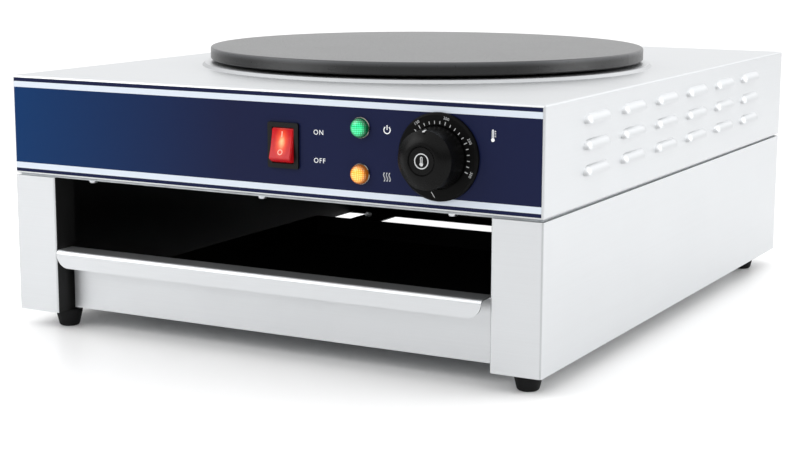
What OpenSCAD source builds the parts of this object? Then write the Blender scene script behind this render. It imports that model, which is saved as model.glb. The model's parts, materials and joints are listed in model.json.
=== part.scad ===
// Electric crepe maker: a cast hot plate on a folded steel housing, over an
// open cabinet with a sliding tray.
// Millimetres. X runs to the right, Y to the back and Z up. The origin is on
// the table, in the middle of the overall width and depth.

/* [Housing] */
// Width of the housing and the cabinet
body_w = 496; // [450:2:560]
// Depth of the housing and the cabinet
body_d = 600; // [560:5:680]
// Height of the upper housing
upper_h = 84.5; // [80:0.5:110]
// Height of the cabinet under it
cabinet_h = 118; // [105:1:150]
// Thickness of the folded steel sheet
sheet = 1.2; // [0.8:0.1:1.5]
// Outside radius of a fold
bend_r = 2; // [1.8:0.1:4]
// Width of the inward flanges
flange_w = 14; // [12:0.5:18]
// Gap round a panel that is set into another
panel_gap = 0.4; // [0.2:0.1:1]

/* [Base plate] */
// Thickness of the base plate, which is also the height of the dark seam
base_t = 1.5; // [1:0.1:3]
// Setback of the base plate's edge behind the housing
seam_setback = 3; // [2:0.5:5]

/* [Louvres] */
// Louvres in a row
louvre_columns = 6; // [3:1:6]
// Rows of louvres on each side
louvre_rows = 3; // [1:1:3]
// Distance from one louvre to the next in a row
louvre_pitch = 78.5; // [65:0.5:85]
// Distance between rows
louvre_row_pitch = 20; // [16:0.5:22]
// Length of a louvre
louvre_l = 51; // [40:1:56]
// How far a louvre stands out of the side
louvre_out = 4.5; // [3:0.5:6]
// Radius of a louvre's rounded hood
louvre_r = 9; // [7:0.5:10]
// Thickness of the stretched hood
louvre_t = 1; // [0.6:0.1:1.2]
// First louvre's front end, behind the front of the housing
louvre_front = 74; // [60:1:90]
// Lower edge of the top row below the top
louvre_drop = 21; // [16:0.5:24]

/* [Hot plate] */
// Diameter of the cast plate
plate_d = 400; // [360:5:420]
// Thickness of the cast plate
plate_t = 11.2; // [9:0.2:16]
// Rounding of the plate's upper edge
plate_edge_r = 1.6; // [0.8:0.1:3]
// Height of the plate's underside above the top sheet
plate_lift = 5.4; // [4:0.1:10]
// Distance of the plate's centre behind the front of the housing
plate_back = 290; // [270:1:320]
// Diameter of the raised platform pressed into the top sheet
platform_d = 416; // [400:1:430]
// Height of the raised platform
platform_rise = 2.5; // [1.5:0.1:3.5]
// Diameter of the hole in the platform
platform_hole_d = 356; // [350:1:366]

/* [Heater] */
// Diameter of the clamp disc and the insulation
heater_d = 332; // [326:1:340]
// Diameter of the heating tube
element_d = 8; // [6:0.5:9]
// Distance of the outer heating ring inside the heater's edge
element_inset = 11; // [8:0.5:18]
// Radius of the outer heating ring
element_outer_r = heater_d / 2 - element_inset;
// Radius of the inner heating ring
element_inner_r = 95; // [80:1:104]
// Half of the angle left open between the ring ends
element_open = 15; // [10:1:24]
// Length of the cold ends below the reflector pan
element_pin = 12; // [6:1:20]
// Thickness of the clamp disc
clamp_t = 2; // [1:0.5:3]
// Thickness of the insulation
insulation_t = 20; // [12:1:24]
// Wall of the reflector pan
pan_t = 1; // [0.6:0.1:1.5]
// Width of the reflector pan's rim
pan_rim_w = 20; // [16:1:24]
// Clearance round pieces that pass through a sheet
pass_gap = 0.5; // [0.3:0.1:1]

/* [Plate mounting] */
// Cast legs under the plate
leg_count = 3; // [3:1:3]
// Pitch radius of the legs, midway between the heating rings
leg_pitch_r = (element_outer_r + element_inner_r) / 2;
// Diameter of a leg
leg_d = 20; // [16:1:22]
// Diameter of the studs
stud_d = 8; // [6:1:10]
// Outside diameter of the spacer tubes
spacer_d = 16; // [14:1:20]

/* [Front controls] */
// Thickness of the printed overlay
overlay_t = 0.4; // [0.2:0.1:1]
// Depth of the switch, lamp and knob centre line below the top
controls_drop = 43; // [40:0.5:46]
// Switch position to the right of the middle
switch_x = 26; // [10:1:40]
// Width of the switch bezel
switch_w = 28; // [26:0.5:32]
// Height of the switch bezel
switch_h = 36; // [34:0.5:40]
// Thickness of the switch bezel
switch_rim_t = 2.2; // [1.5:0.1:3]
// Depth of the switch case behind the bezel
switch_case_l = 26; // [24:1:36]
// Width of the rocker
rocker_w = 19.6; // [16:0.2:21]
// Swing radius of the rocker's ends
rocker_r = 13.9; // [12:0.1:14.4]
// Tilt of the rocker to either side of its middle
rocker_tilt = 13.5; // [10:0.5:15]
// Lamp position to the right of the middle
lamp_x = 95; // [80:1:105]
// Distance between the two lamps
lamp_pitch = 35.6; // [30:0.2:40]
// Diameter of a lamp's rim
lamp_d = 16.6; // [14:0.2:20]
// Height of a lamp's dome
lamp_dome_h = 5.2; // [3:0.1:7]
// Knob position to the right of the middle
dial_x = 162.5; // [155:0.5:180]
// Diameter of the fixed dial
dial_d = 67; // [60:1:70]
// Thickness of the fixed dial
dial_t = 4; // [3.6:0.1:6]
// Diameter of the grip at its base
grip_d = 47; // [40:1:50]
// How far the grip's face stands in front of the housing
knob_reach = 30; // [26:0.5:36]
// Diameter of the thermostat's shaft
shaft_d = 6; // [5:0.5:8]
// Radial clearance of a turning shaft
run_gap = 0.05; // [0.02:0.01:0.1]

/* [Cabinet] */
// Width of the front posts
post_w = 42.5; // [38:0.5:50]
// Depth of the posts' return flange
post_return = 25; // [20:1:30]
// Depth of the plate that closes the foot of a post
post_plate_l = 42; // [40:1:50]
// Width of the rear wall's bottom flange
rear_flange_w = 28; // [20:1:32]
// Overlap of the tray on each runner
runner_overlap = 13; // [8:1:16]
// Width of the left runner
runner_left_w = 37; // [34:1:42]
// Width of the right runner, which also carries a foot nearer the wall
runner_right_w = 56; // [52:1:58]

/* [Feet] */
// Height of the feet
foot_h = 15; // [12:0.5:30]
// Diameter of a foot at the top
foot_top_d = 23.4; // [20:0.2:26]
// Diameter of a foot at the bottom
foot_bottom_d = 18; // [15:0.5:20]
// Left feet, from the left side to their centre
foot_inset_left = 36; // [33:0.5:36]
// Right feet, from the right side to their centre
foot_inset_right = 20; // [18:0.5:26]
// Front feet, from the front to their centre
foot_inset_front = 22; // [18:0.5:22]
// Rear feet, from the back to their centre
foot_inset_rear = 45; // [45:1:60]

/* [Tray] */
// Setback of the tray's front behind the front of the cabinet
tray_setback = 17; // [10:1:20]
// Gap between the tray and each post
tray_side_gap = 6.5; // [5.5:0.5:15.5]
// Width of the tray
tray_w = body_w - 2 * (post_w + tray_side_gap);
// Length of the tray behind its front
tray_l = 402; // [300:1:440]
// Height of the tray's walls
tray_h = 21; // [12:1:35]
// Gap between the tray's front and each post
tray_front_gap = 4.5; // [3.5:0.5:13.5]
// Width of the tray's front
tray_front_w = body_w - 2 * (post_w + tray_front_gap);
// Height of the tray's front
tray_front_h = 54; // [45:1:80]
// Depth of the grip ledge
ledge_l = 23; // [20:1:30]
// Height of the grip's lip
lip_h = 15; // [12:1:24]
// Radius of the lip's lower corners
lip_corner_r = 12; // [6:1:12]
// Running clearance under the tray
tray_gap = 0.3; // [0.2:0.1:0.8]

/* [Cable gland] */
// Gland position to the right of the middle
gland_x = 170; // [140:1:190]
// Height of the gland above the base plate
gland_up = 30; // [22:1:40]
// Diameter of the hole for the cable
cable_d = 10.5; // [7:0.5:11]
// How far the gland stands out of the back
gland_reach = 20; // [18:1:26]

/* [Hidden] */
$fn = 48;
round_fn = 96;
cut = 1; // a cut runs this far past the faces that it opens

// Heights of the stack, from the table up
cabinet_top = foot_h + cabinet_h;
housing_z = cabinet_top + base_t;
top_z = housing_z + upper_h;
platform_z = top_z + platform_rise;
plate_z = top_z + plate_lift;
controls_z = top_z - controls_drop;
gland_z = housing_z + gland_up;

// Depths: the knob and the gland set the overall depth about the origin
front_y = (knob_reach - gland_reach - body_d) / 2;
rear_y = front_y + body_d;
plate_y = front_y + plate_back;
overlay_y = front_y - overlay_t;

half_w = body_w / 2;
fold_in = max(0.3, bend_r - sheet);
platform_slope = platform_rise;

// Heater stack, from the plate down
element_gap = 0.1;
element_r = element_d / 2;
element_ball_r = element_r + element_gap * 0.8;
element_z = plate_z - element_gap - element_r;
clamp_z = element_z - element_r - element_gap - clamp_t;
insulation_z = clamp_z - insulation_t;
pan_floor_z = insulation_z - pan_t;
pan_r = heater_d / 2 + 2 * pan_t;
pan_top_z = platform_z - sheet;
bulb_d = 6;
bulb_l = 76;
bulb_rib_w = 14;
bulb_rib_h = 9.4;
bulb_y = plate_y - leg_pitch_r;
bulb_z = plate_z - bulb_rib_h / 2;
capillary_r = 1;
capillary_x = bulb_l / 2 + 22;
capillary_hole_r = capillary_r + pass_gap;
leg_angles = [for (i = [0 : leg_count - 1]) 90 + i * 360 / leg_count];

// Small fasteners
m4_r = 2;
m4_hole_r = 2.2;
m4_head_r = 3.8;
m4_head_h = 2.6;
m4_nut_r = 4.04;
m4_nut_h = 3.2;
m5_r = 2.5;
m5_hole_r = 2.7;
m5_head_r = 4.2;
m5_head_h = 3;
m5_nut_r = 4.6;
m5_nut_h = 4;
foot_screw_seat = 6;
front_screw_l = 10;
front_screw_pitch = 170;
front_screw_inset = 8;
front_screw_x = [-front_screw_pitch, 0, front_screw_pitch];
front_screw_y = front_y + front_screw_inset;
side_screw_l = 11;
side_screw_end = 60; // from the front and the back to the outer screws
side_screw_x = half_w - flange_w / 2 - sheet / 2;
side_screw_y = [front_y + side_screw_end, front_y + body_d / 2, rear_y - side_screw_end];
rear_screw_l = 9;
rear_screw_inset = 6;
rear_screw_low = 18;
rear_screw_high = 22;
rear_screw_x = half_w - sheet - rear_screw_inset;
rear_screw_top_x = body_w / 5;
rear_screw_top_z = top_z - sheet - rear_screw_inset;
rear_screw_side_z = [housing_z + rear_screw_low, top_z - rear_screw_high];
stud_washer_t = 1.6;
stud_nut_h = stud_d * 0.8;
stud_end_z = cabinet_top - stud_washer_t - stud_nut_h - 1;
stud_top_z = insulation_z + 18;

// Switch
bezel_y = overlay_y - switch_rim_t;
rocker_face = 7; // the rocker's face, in front of its pivot
rocker_back = 6;
rocker_stand = 3.2; // how far the level face stands in front of the bezel
rocker_y = bezel_y + rocker_face - rocker_stand;
switch_case_w = switch_w - 3.4;
switch_case_h = switch_h - 3.4;
rocker_gap = 0.3;
rocker_pin_r = 2;
rocker_pin_l = 1.5;
blade_w = 6.3;
blade_t = 0.8;
blade_l = 8;
switch_back_y = front_y + switch_case_l;
switch_blade_dx = 6;
switch_blade_dz = 9;

// Lamps
lamp_rim_t = 1.4;
lamp_thread_r = 5.9;
lamp_hole_r = 6.1;
lamp_body_l = 24;
lamp_nut_h = 4;
lamp_lens_r = lamp_d / 2 - 0.6;
power_lamp_z = controls_z + lamp_pitch / 2;
heat_lamp_z = controls_z - lamp_pitch / 2;
lamp_back_y = front_y + lamp_body_l;

// Knob and thermostat, heights counted forward from the overlay
dial_floor_t = 1.6;
dial_chamfer = 1.6;
dial_well_r = grip_d / 2 + 1;
grip_base_h = dial_t + 0.6;
grip_face_h = knob_reach - overlay_t;
grip_dome_h = 5.6;
grip_draft = 1.2;
grip_rim_r = grip_d / 2 - grip_draft;
cap_r = 10.4;
cap_t = 1.2;
cap_recess = 2;
cap_floor_h = grip_face_h - cap_recess;
shaft_r = shaft_d / 2;
shaft_flat = 0.5;
shaft_end_h = cap_floor_h - 6;
bushing_r = 4.8;
bushing_h = 2.4;
shaft_root_y = front_y + sheet + 12;
thermostat_w = 38;
thermostat_h = 34;
thermostat_l = 26;
thermostat_screw_x = 14;
thermostat_back_y = front_y + sheet + thermostat_l;

// Cabinet and tray
post_in = half_w - post_w;
runner_in = tray_w / 2 - runner_overlap;
runner_tab = 13;
runner_front_y = front_y + post_plate_l;
runner_rear_y = rear_y - sheet - rear_flange_w;
runner_top_z = foot_h + 2 * sheet;
tray_z = runner_top_z + tray_gap;
tray_front_y = front_y + tray_setback;
tray_top_z = tray_z + tray_front_h;
lip_y = tray_front_y - ledge_l;
hand_fold_r = 4;
left_foot_x = -half_w + foot_inset_left;
right_foot_x = half_w - foot_inset_right;
front_foot_y = front_y + foot_inset_front;
rear_foot_y = rear_y - foot_inset_rear;
foot_places = [
    [left_foot_x, front_foot_y],
    [right_foot_x, front_foot_y],
    [left_foot_x, rear_foot_y],
    [right_foot_x, rear_foot_y]
];

// Cable gland, depths counted back from the rear panel's outer face
gland_thread_r = 9.9;
gland_hole_r = gland_thread_r + 0.2;
gland_hex_r = 13.8;
gland_hex_l = 6;
gland_inside_l = 12;
gland_nut_l = 5;
gland_front_r = 9;
gland_front_l = 14;
gland_bore_r = 6.2;
gland_seat_r = 7.6;
gland_seat_l = 2;
gland_cap_r = 11.4;
gland_cap_gap = 0.3;

// Mains entry
block_w = 44;
block_d = 24;
block_h = 16;
block_side = 58; // from the gland inwards to the terminal block
block_back = 80;
block_x = gland_x - block_side;
block_y = rear_y - block_back;
earth_side = 30; // from the gland outwards to the earth stud
earth_back = 60;
earth_x = gland_x + earth_side;
earth_y = rear_y - earth_back;
earth_h = 16;
wire_r = 1.4;

steel = "#DADCDE";
dark_steel = "#8E9296";
iron = "#55585B";
rubber = "#1C1C1D";
bakelite = "#202123";
zinc = "#C4C7C9";

// ---------------------------------------------------------------- helpers

// A rectangle with all four corners rounded
module round_rect(x0, y0, x1, y1, r) {
    translate([x0 + r, y0]) square([x1 - x0 - 2 * r, y1 - y0]);
    translate([x0, y0 + r]) square([x1 - x0, y1 - y0 - 2 * r]);
    for (x = [x0 + r, x1 - r], y = [y0 + r, y1 - r])
        translate([x, y]) circle(r);
}

// A box between two corners
module box(low, high) {
    translate(low) cube(high - low);
}

// Turns a profile drawn in y and z into a bar along X
module along_x(x0, x1) {
    rotate([90, 0, 90]) translate([0, 0, x0]) linear_extrude(x1 - x0) children();
}

// Turns a profile drawn in x and z into a bar along Y
module along_y(y0, y1) {
    translate([0, y1, 0]) rotate([90, 0, 0]) linear_extrude(y1 - y0) children();
}

// A plate lying flat, from a profile drawn in x and y
module flat(z0, z1) {
    translate([0, 0, z0]) linear_extrude(z1 - z0) children();
}

// A round bar along Y
module rod_y(x, y0, y1, z, r) {
    translate([x, y1, z]) rotate([90, 0, 0]) cylinder(r = r, h = y1 - y0);
}

// A round bar along Z
module rod_z(x, y, z0, z1, r) {
    translate([x, y, z0]) cylinder(r = r, h = z1 - z0);
}

// A nut or another hexagon standing on z0
module hex_z(x, y, z0, z1, r) {
    translate([x, y, z0]) cylinder(r = r, h = z1 - z0, $fn = 6);
}

// A body turned about an axis along Y, from a profile of radius and height;
// the height counts forward, towards the user
module turned_front(x, y, z) {
    translate([x, y, z]) rotate([90, 0, 0]) rotate_extrude($fn = round_fn) children();
}

// The same, with the height counted back
module turned_rear(x, y, z) {
    translate([x, y, z]) rotate([-90, 0, 0]) rotate_extrude($fn = round_fn) children();
}

// A round tube or wire through a list of points, with ball elbows that are a
// trace larger than the tube
module wire(points, r) {
    for (i = [0 : len(points) - 2]) {
        run = points[i + 1] - points[i];
        length = norm(run);
        tilt = acos(run[2] / length);
        turn = atan2(run[1], run[0]);
        translate(points[i]) rotate([0, tilt, turn]) {
            cylinder(r = r, h = length, $fn = 24);
            if (i > 0) sphere(r * 1.04, $fn = 24);
        }
    }
}

// A pan-head screw pointing up, its head below z
module screw_up(x, y, z, length, r, head_r, head_h) {
    head_ball = (head_r * head_r + head_h * head_h) / (2 * head_h);
    rod_z(x, y, z, z + length, r);
    intersection() {
        translate([x, y, z - head_h + head_ball]) sphere(head_ball);
        rod_z(x, y, z - head_h, z, head_r);
    }
}

// A pan-head screw pointing along the given Y direction, its head before y
module screw_y(x, y, z, length, direction) {
    translate([x, y, z]) rotate([direction > 0 ? -90 : 90, 0, 0])
        screw_up(0, 0, 0, length, m4_r, m4_head_r, m4_head_h);
}

// ---------------------------------------------------------------- housing

// The housing's solid form, moved in by i on every face but the back
module housing_form(i, back_y) {
    r = i > 0 ? fold_in : bend_r;
    over = 4 * bend_r;
    intersection() {
        along_y(front_y + i, back_y)
            round_rect(-half_w + i, housing_z + i, half_w - i, top_z - i, r);
        along_x(-half_w, half_w)
            round_rect(front_y + i, housing_z + i, back_y + over, top_z - i, r);
        flat(housing_z, top_z)
            round_rect(-half_w + i, front_y + i, half_w - i, back_y + over, r);
    }
}

// One louvre's hood: a capsule along Y, cut level at its lower edge.
// x counts out of the side, y along it and z up from the lower edge.
module louvre_hood(r) {
    sink = louvre_r - louvre_out;
    reach = sqrt(louvre_r * louvre_r - sink * sink);
    half = louvre_l / 2 - reach;
    intersection() {
        translate([-sink, 0, 0]) union() {
            translate([0, half, 0]) rotate([90, 0, 0]) cylinder(r = r, h = 2 * half);
            for (y = [-half, half]) translate([0, y, 0]) sphere(r);
        }
        box([-sheet - (r < louvre_r ? cut : 0), -louvre_l, 0], [louvre_r, louvre_l, louvre_r]);
    }
}

// Places the children at each louvre of the right-hand side
module each_louvre() {
    for (row = [0 : louvre_rows - 1], column = [0 : louvre_columns - 1])
        translate([
            half_w,
            front_y + louvre_front + louvre_l / 2 + column * louvre_pitch,
            top_z - louvre_drop - row * louvre_row_pitch
        ]) children();
}

module both_sides() {
    children();
    mirror([1, 0, 0]) children();
}

module front_openings() {
    box(
        [switch_x - switch_case_w / 2 - pass_gap / 2, overlay_y - cut, controls_z - switch_case_h / 2 - pass_gap / 2],
        [switch_x + switch_case_w / 2 + pass_gap / 2, front_y + sheet + cut, controls_z + switch_case_h / 2 + pass_gap / 2]
    );
    for (z = [power_lamp_z, heat_lamp_z])
        rod_y(lamp_x, overlay_y - cut, front_y + sheet + cut, z, lamp_hole_r);
    rod_y(dial_x, overlay_y - cut, front_y + sheet + cut, controls_z, bushing_r + pass_gap / 2);
    for (x = [-thermostat_screw_x, thermostat_screw_x])
        rod_y(dial_x + x, overlay_y - cut, front_y + sheet + cut, controls_z, m4_hole_r);
}

// Screw holes in the flanges that stand on the base plate
module frame_holes(z0, z1) {
    for (x = front_screw_x) rod_z(x, front_screw_y, z0, z1, m4_hole_r);
    for (x = [-side_screw_x, side_screw_x], y = side_screw_y) rod_z(x, y, z0, z1, m4_hole_r);
}

module rear_screw_places() {
    for (x = [-rear_screw_x, rear_screw_x], z = rear_screw_side_z) translate([x, 0, z]) children();
    for (x = [-rear_screw_top_x, rear_screw_top_x]) translate([x, 0, rear_screw_top_z]) children();
}

// The frame that the rear panel is screwed to, set in by one sheet
module housing_rear_flange() {
    low_z = housing_z + sheet;
    difference() {
        box(
            [-half_w + sheet / 2, rear_y - 2 * sheet, low_z],
            [half_w - sheet / 2, rear_y - sheet, top_z - sheet / 2]
        );
        box(
            [-half_w + flange_w, rear_y - 3 * sheet, low_z - cut],
            [half_w - flange_w, rear_y, top_z - flange_w]
        );
    }
}

module upper_housing() {
    color(steel) difference() {
        union() {
            difference() {
                union() {
                    housing_form(0, rear_y);
                    translate([0, plate_y, top_z])
                        cylinder(d1 = platform_d, d2 = platform_d - 2 * platform_slope,
                                 h = platform_rise, $fn = round_fn);
                }
                housing_form(sheet, rear_y + cut);
                translate([0, plate_y, top_z - sheet])
                    cylinder(d1 = platform_d - 2 * sheet, d2 = platform_d - 2 * platform_slope - 2 * sheet,
                             h = platform_rise, $fn = round_fn);
                // the bottom is open inside its flanges
                box(
                    [-half_w + flange_w, front_y + flange_w, housing_z - cut],
                    [half_w - flange_w, rear_y + cut, housing_z + sheet + cut]
                );
                // the flanges stop short of the rear panel
                box(
                    [-half_w + sheet, rear_y - 3 * sheet, housing_z - cut],
                    [half_w - sheet, rear_y + cut, housing_z + sheet + cut]
                );
            }
            both_sides() each_louvre() louvre_hood(louvre_r);
            housing_rear_flange();
        }
        both_sides() each_louvre() louvre_hood(louvre_r - louvre_t);
        rod_z(0, plate_y, top_z - 2 * sheet, platform_z + cut, platform_hole_d / 2, $fn = round_fn);
        front_openings();
        frame_holes(housing_z - cut, housing_z + sheet + cut);
        rear_screw_places() rod_y(0, rear_y - 3 * sheet, rear_y, 0, m4_hole_r);
    }
}

module rear_panel() {
    color(steel) difference() {
        box(
            [-half_w + sheet + panel_gap, rear_y - sheet, housing_z],
            [half_w - sheet - panel_gap, rear_y, top_z - sheet - panel_gap]
        );
        rod_y(gland_x, rear_y - sheet - cut, rear_y + cut, gland_z, gland_hole_r);
        rear_screw_places() rod_y(0, rear_y - sheet - cut, rear_y + cut, 0, m4_hole_r);
    }
}

module rear_panel_screws() {
    color(zinc) rear_screw_places() screw_y(0, rear_y, 0, rear_screw_l, -1);
}

module control_overlay() {
    color("#22345E") difference() {
        box(
            [-half_w + bend_r, overlay_y, housing_z + bend_r],
            [half_w - bend_r, front_y, top_z - bend_r]
        );
        front_openings();
    }
}

module base_plate() {
    color(dark_steel) difference() {
        flat(cabinet_top, housing_z)
            round_rect(-half_w + seam_setback, front_y + seam_setback,
                       half_w - seam_setback, rear_y - seam_setback, bend_r);
        frame_holes(cabinet_top - cut, housing_z + cut);
        for (a = leg_angles)
            rod_z(leg_pitch_r * cos(a), plate_y + leg_pitch_r * sin(a),
                  cabinet_top - cut, housing_z + cut, stud_d / 2 + pass_gap / 2);
        rod_z(earth_x, earth_y, cabinet_top - cut, housing_z + cut, m5_hole_r);
    }
}

module front_screws() {
    color(zinc) for (x = front_screw_x)
        screw_up(x, front_screw_y, cabinet_top, front_screw_l, m4_r, m4_head_r, m4_head_h);
}

module cabinet_screws() {
    color(zinc) for (x = [-side_screw_x, side_screw_x], y = side_screw_y)
        screw_up(x, y, cabinet_top - sheet, side_screw_l, m4_r, m4_head_r, m4_head_h);
}

module m4_nut(x, y) {
    z = housing_z + sheet;
    difference() {
        hex_z(x, y, z, z + m4_nut_h, m4_nut_r);
        rod_z(x, y, z - cut, z + m4_nut_h + cut, m4_r);
    }
}

module frame_nuts() {
    color(zinc) {
        for (x = front_screw_x) m4_nut(x, front_screw_y);
        for (x = [-side_screw_x, side_screw_x], y = side_screw_y) m4_nut(x, y);
    }
}

// ---------------------------------------------------------------- cabinet

// Plan of the left side: wall, front post, return flange and rear flange
module side_plan() {
    difference() {
        round_rect(-half_w, front_y, -post_in, rear_y, bend_r);
        round_rect(-half_w + sheet, front_y + sheet, -post_in - sheet, rear_y - sheet, fold_in);
        translate([-half_w + flange_w, front_y + post_return]) square([post_w, body_d]);
    }
}

module cabinet_side() {
    color(steel) difference() {
        union() {
            flat(foot_h, cabinet_top) side_plan();
            // flange under the base plate, and the top of the post
            box(
                [-half_w + sheet / 2, front_y + sheet / 2, cabinet_top - sheet],
                [-half_w + flange_w, rear_y - sheet / 2, cabinet_top]
            );
            box(
                [-half_w + sheet / 2, front_y + sheet / 2, cabinet_top - sheet],
                [-post_in - sheet / 2, front_y + post_return, cabinet_top]
            );
            // plate that closes the foot of the post
            box(
                [-half_w + sheet / 2, front_y + sheet / 2, foot_h],
                [-post_in - sheet / 2, front_y + post_plate_l, foot_h + sheet]
            );
        }
        for (y = side_screw_y)
            rod_z(-side_screw_x, y, cabinet_top - 2 * sheet, cabinet_top + cut, m4_hole_r);
    }
}

module foot_hole(x, y) {
    rod_z(x, y, foot_h - cut, foot_h + 3 * sheet, m5_hole_r);
}

module cabinet_side_left() {
    difference() {
        cabinet_side();
        foot_hole(left_foot_x, front_foot_y);
    }
}

module cabinet_side_right() {
    difference() {
        mirror([1, 0, 0]) cabinet_side();
        foot_hole(right_foot_x, front_foot_y);
    }
}

// Section of the rear wall in y and z, with its top and bottom flanges
module rear_profile() {
    back = rear_y - sheet;
    difference() {
        round_rect(back - rear_flange_w, foot_h, back, cabinet_top, bend_r);
        round_rect(back - 2 * rear_flange_w, foot_h + sheet, back - sheet, cabinet_top - sheet, fold_in);
        translate([back - rear_flange_w - cut, foot_h + sheet])
            square([rear_flange_w + cut - flange_w, cabinet_h]);
    }
}

module cabinet_rear() {
    color(steel) difference() {
        along_x(-half_w + sheet + panel_gap / 2, half_w - sheet - panel_gap / 2) rear_profile();
        // the top flange and edge end under those of the sides
        both_sides() box(
            [half_w - flange_w - panel_gap, rear_y - sheet - rear_flange_w, cabinet_top - sheet - panel_gap / 2],
            [half_w, rear_y, cabinet_top + cut]
        );
    }
}

// A runner: a strip level with the cabinet's lower edge, whose ends step up
// onto the post plate and the rear flange. x0 and x1 are its edges.
module runner(x0, x1, foot_x) {
    color(steel) difference() {
        union() {
            box([x0, runner_front_y + panel_gap, foot_h], [x1, runner_rear_y - panel_gap, foot_h + sheet]);
            box(
                [x0, runner_front_y - runner_tab, foot_h + sheet],
                [x1, runner_front_y + panel_gap + 2 * sheet, runner_top_z]
            );
            box(
                [x0, runner_rear_y - panel_gap - 2 * sheet, foot_h + sheet],
                [x1, runner_rear_y + runner_tab, runner_top_z]
            );
        }
        foot_hole(foot_x, rear_foot_y);
    }
}

module runner_left() {
    runner(-runner_in - runner_left_w, -runner_in, left_foot_x);
}

module runner_right() {
    runner(runner_in, runner_in + runner_right_w, right_foot_x);
}

module foot(place) {
    rounding = 2.5;
    bottom_r = foot_bottom_d / 2;
    color(rubber) translate([place[0], place[1], 0]) rotate_extrude($fn = round_fn) difference() {
        polygon(concat(
            [[0, 0]],
            [for (a = [-90 : 15 : -15])
                [bottom_r - rounding + rounding * cos(a), rounding + rounding * sin(a)]],
            [[foot_top_d / 2, foot_h - 1.5], [foot_top_d / 2, foot_h], [0, foot_h]]
        ));
        square([m5_hole_r, foot_h + cut]);
        translate([0, -cut]) square([m5_head_r + 0.6, foot_screw_seat + cut]);
    }
}

module foot_front_left() { foot(foot_places[0]); }
module foot_front_right() { foot(foot_places[1]); }
module foot_rear_left() { foot(foot_places[2]); }
module foot_rear_right() { foot(foot_places[3]); }

module foot_screws() {
    color(zinc) for (p = foot_places)
        screw_up(p[0], p[1], foot_screw_seat, foot_h - foot_screw_seat + sheet + m5_nut_h + 1,
                 m5_r, m5_head_r, m5_head_h);
}

module foot_nuts() {
    z = foot_h + sheet;
    color(zinc) for (p = foot_places) difference() {
        hex_z(p[0], p[1], z, z + m5_nut_h, m5_nut_r);
        rod_z(p[0], p[1], z - cut, z + m5_nut_h + cut, m5_r);
    }
}

// ---------------------------------------------------------------- hot plate

module leg_places() {
    for (a = leg_angles)
        translate([leg_pitch_r * cos(a), plate_y + leg_pitch_r * sin(a), 0]) children();
}

module crepe_plate() {
    r = plate_d / 2;
    top = plate_t;
    e = plate_edge_r;
    color(iron) difference() {
        union() {
            translate([0, plate_y, plate_z]) rotate_extrude($fn = 2 * round_fn) polygon(concat(
                [[0, 0], [r - 1, 0], [r, 1]],
                [for (a = [0 : 15 : 90]) [r - e + e * cos(a), top - e + e * sin(a)]],
                [[0, top]]
            ));
            leg_places() rod_z(0, 0, insulation_z, plate_z + cut, leg_d / 2);
            // rib that holds the thermostat's bulb
            box(
                [-bulb_l / 2, bulb_y - bulb_rib_w / 2, plate_z - bulb_rib_h],
                [bulb_l / 2, bulb_y + bulb_rib_w / 2, plate_z + cut]
            );
        }
        leg_places() rod_z(0, 0, insulation_z - cut, stud_top_z + 2, stud_d / 2);
        translate([-bulb_l / 2 - cut, bulb_y, bulb_z]) rotate([0, 90, 0])
            cylinder(r = bulb_d / 2 + pass_gap / 2, h = bulb_l + 2 * cut);
    }
}

module plate_studs() {
    color(zinc) leg_places() rod_z(0, 0, stud_end_z, stud_top_z, stud_d / 2);
}

module plate_spacers() {
    color(zinc) leg_places() difference() {
        rod_z(0, 0, housing_z, pan_floor_z, spacer_d / 2);
        rod_z(0, 0, housing_z - cut, pan_floor_z + cut, stud_d / 2 + pass_gap / 2);
    }
}

module stud_nuts() {
    washer_z = cabinet_top - stud_washer_t;
    color(zinc) leg_places() difference() {
        union() {
            rod_z(0, 0, washer_z, cabinet_top, stud_d);
            hex_z(0, 0, washer_z - stud_nut_h, washer_z, stud_d * 0.94);
        }
        rod_z(0, 0, stud_end_z - cut, cabinet_top + cut, stud_d / 2);
    }
}

// A point on a heating ring
function ring_point(r, a, z) = [r * cos(a), plate_y + r * sin(a), z];

module heating_ring(r) {
    translate([0, plate_y, element_z]) rotate([0, 0, element_open])
        rotate_extrude(angle = 360 - 2 * element_open, $fn = 2 * round_fn)
            translate([r, 0]) circle(element_r, $fn = 32);
}

module heating_element() {
    pin_z = pan_floor_z - element_pin;
    color("#4A4542") union() {
        heating_ring(element_outer_r);
        heating_ring(element_inner_r);
        // both rings are one tube, joined at one end
        wire([
            ring_point(element_inner_r, -element_open, element_z),
            ring_point(element_outer_r, -element_open, element_z)
        ], element_r);
        for (r = [element_inner_r, element_outer_r]) {
            translate(ring_point(r, -element_open, element_z)) sphere(element_ball_r, $fn = 32);
            translate(ring_point(r, element_open, element_z)) sphere(element_ball_r, $fn = 32);
            translate(ring_point(r, element_open, pin_z))
                cylinder(r = element_r, h = element_z - pin_z, $fn = 32);
        }
    }
}

// Holes through the heater's layers for the legs, cold ends and capillary
module heater_holes(z0, z1, leg_r) {
    leg_places() rod_z(0, 0, z0, z1, leg_r);
    for (r = [element_inner_r, element_outer_r])
        translate(ring_point(r, element_open, z0)) cylinder(r = element_r + pass_gap, h = z1 - z0);
    rod_z(capillary_x, bulb_y, z0, z1, capillary_hole_r);
}

module element_clamp() {
    top = clamp_z + clamp_t;
    color(dark_steel) difference() {
        rod_z(0, plate_y, clamp_z, top, heater_d / 2, $fn = round_fn);
        heater_holes(clamp_z - cut, top + cut, leg_d / 2 + pass_gap);
        box(
            [-bulb_l / 2 - pass_gap, bulb_y - bulb_rib_w / 2 - pass_gap, clamp_z - cut],
            [bulb_l / 2 + pass_gap, bulb_y + bulb_rib_w / 2 + pass_gap, top + cut]
        );
    }
}

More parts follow.
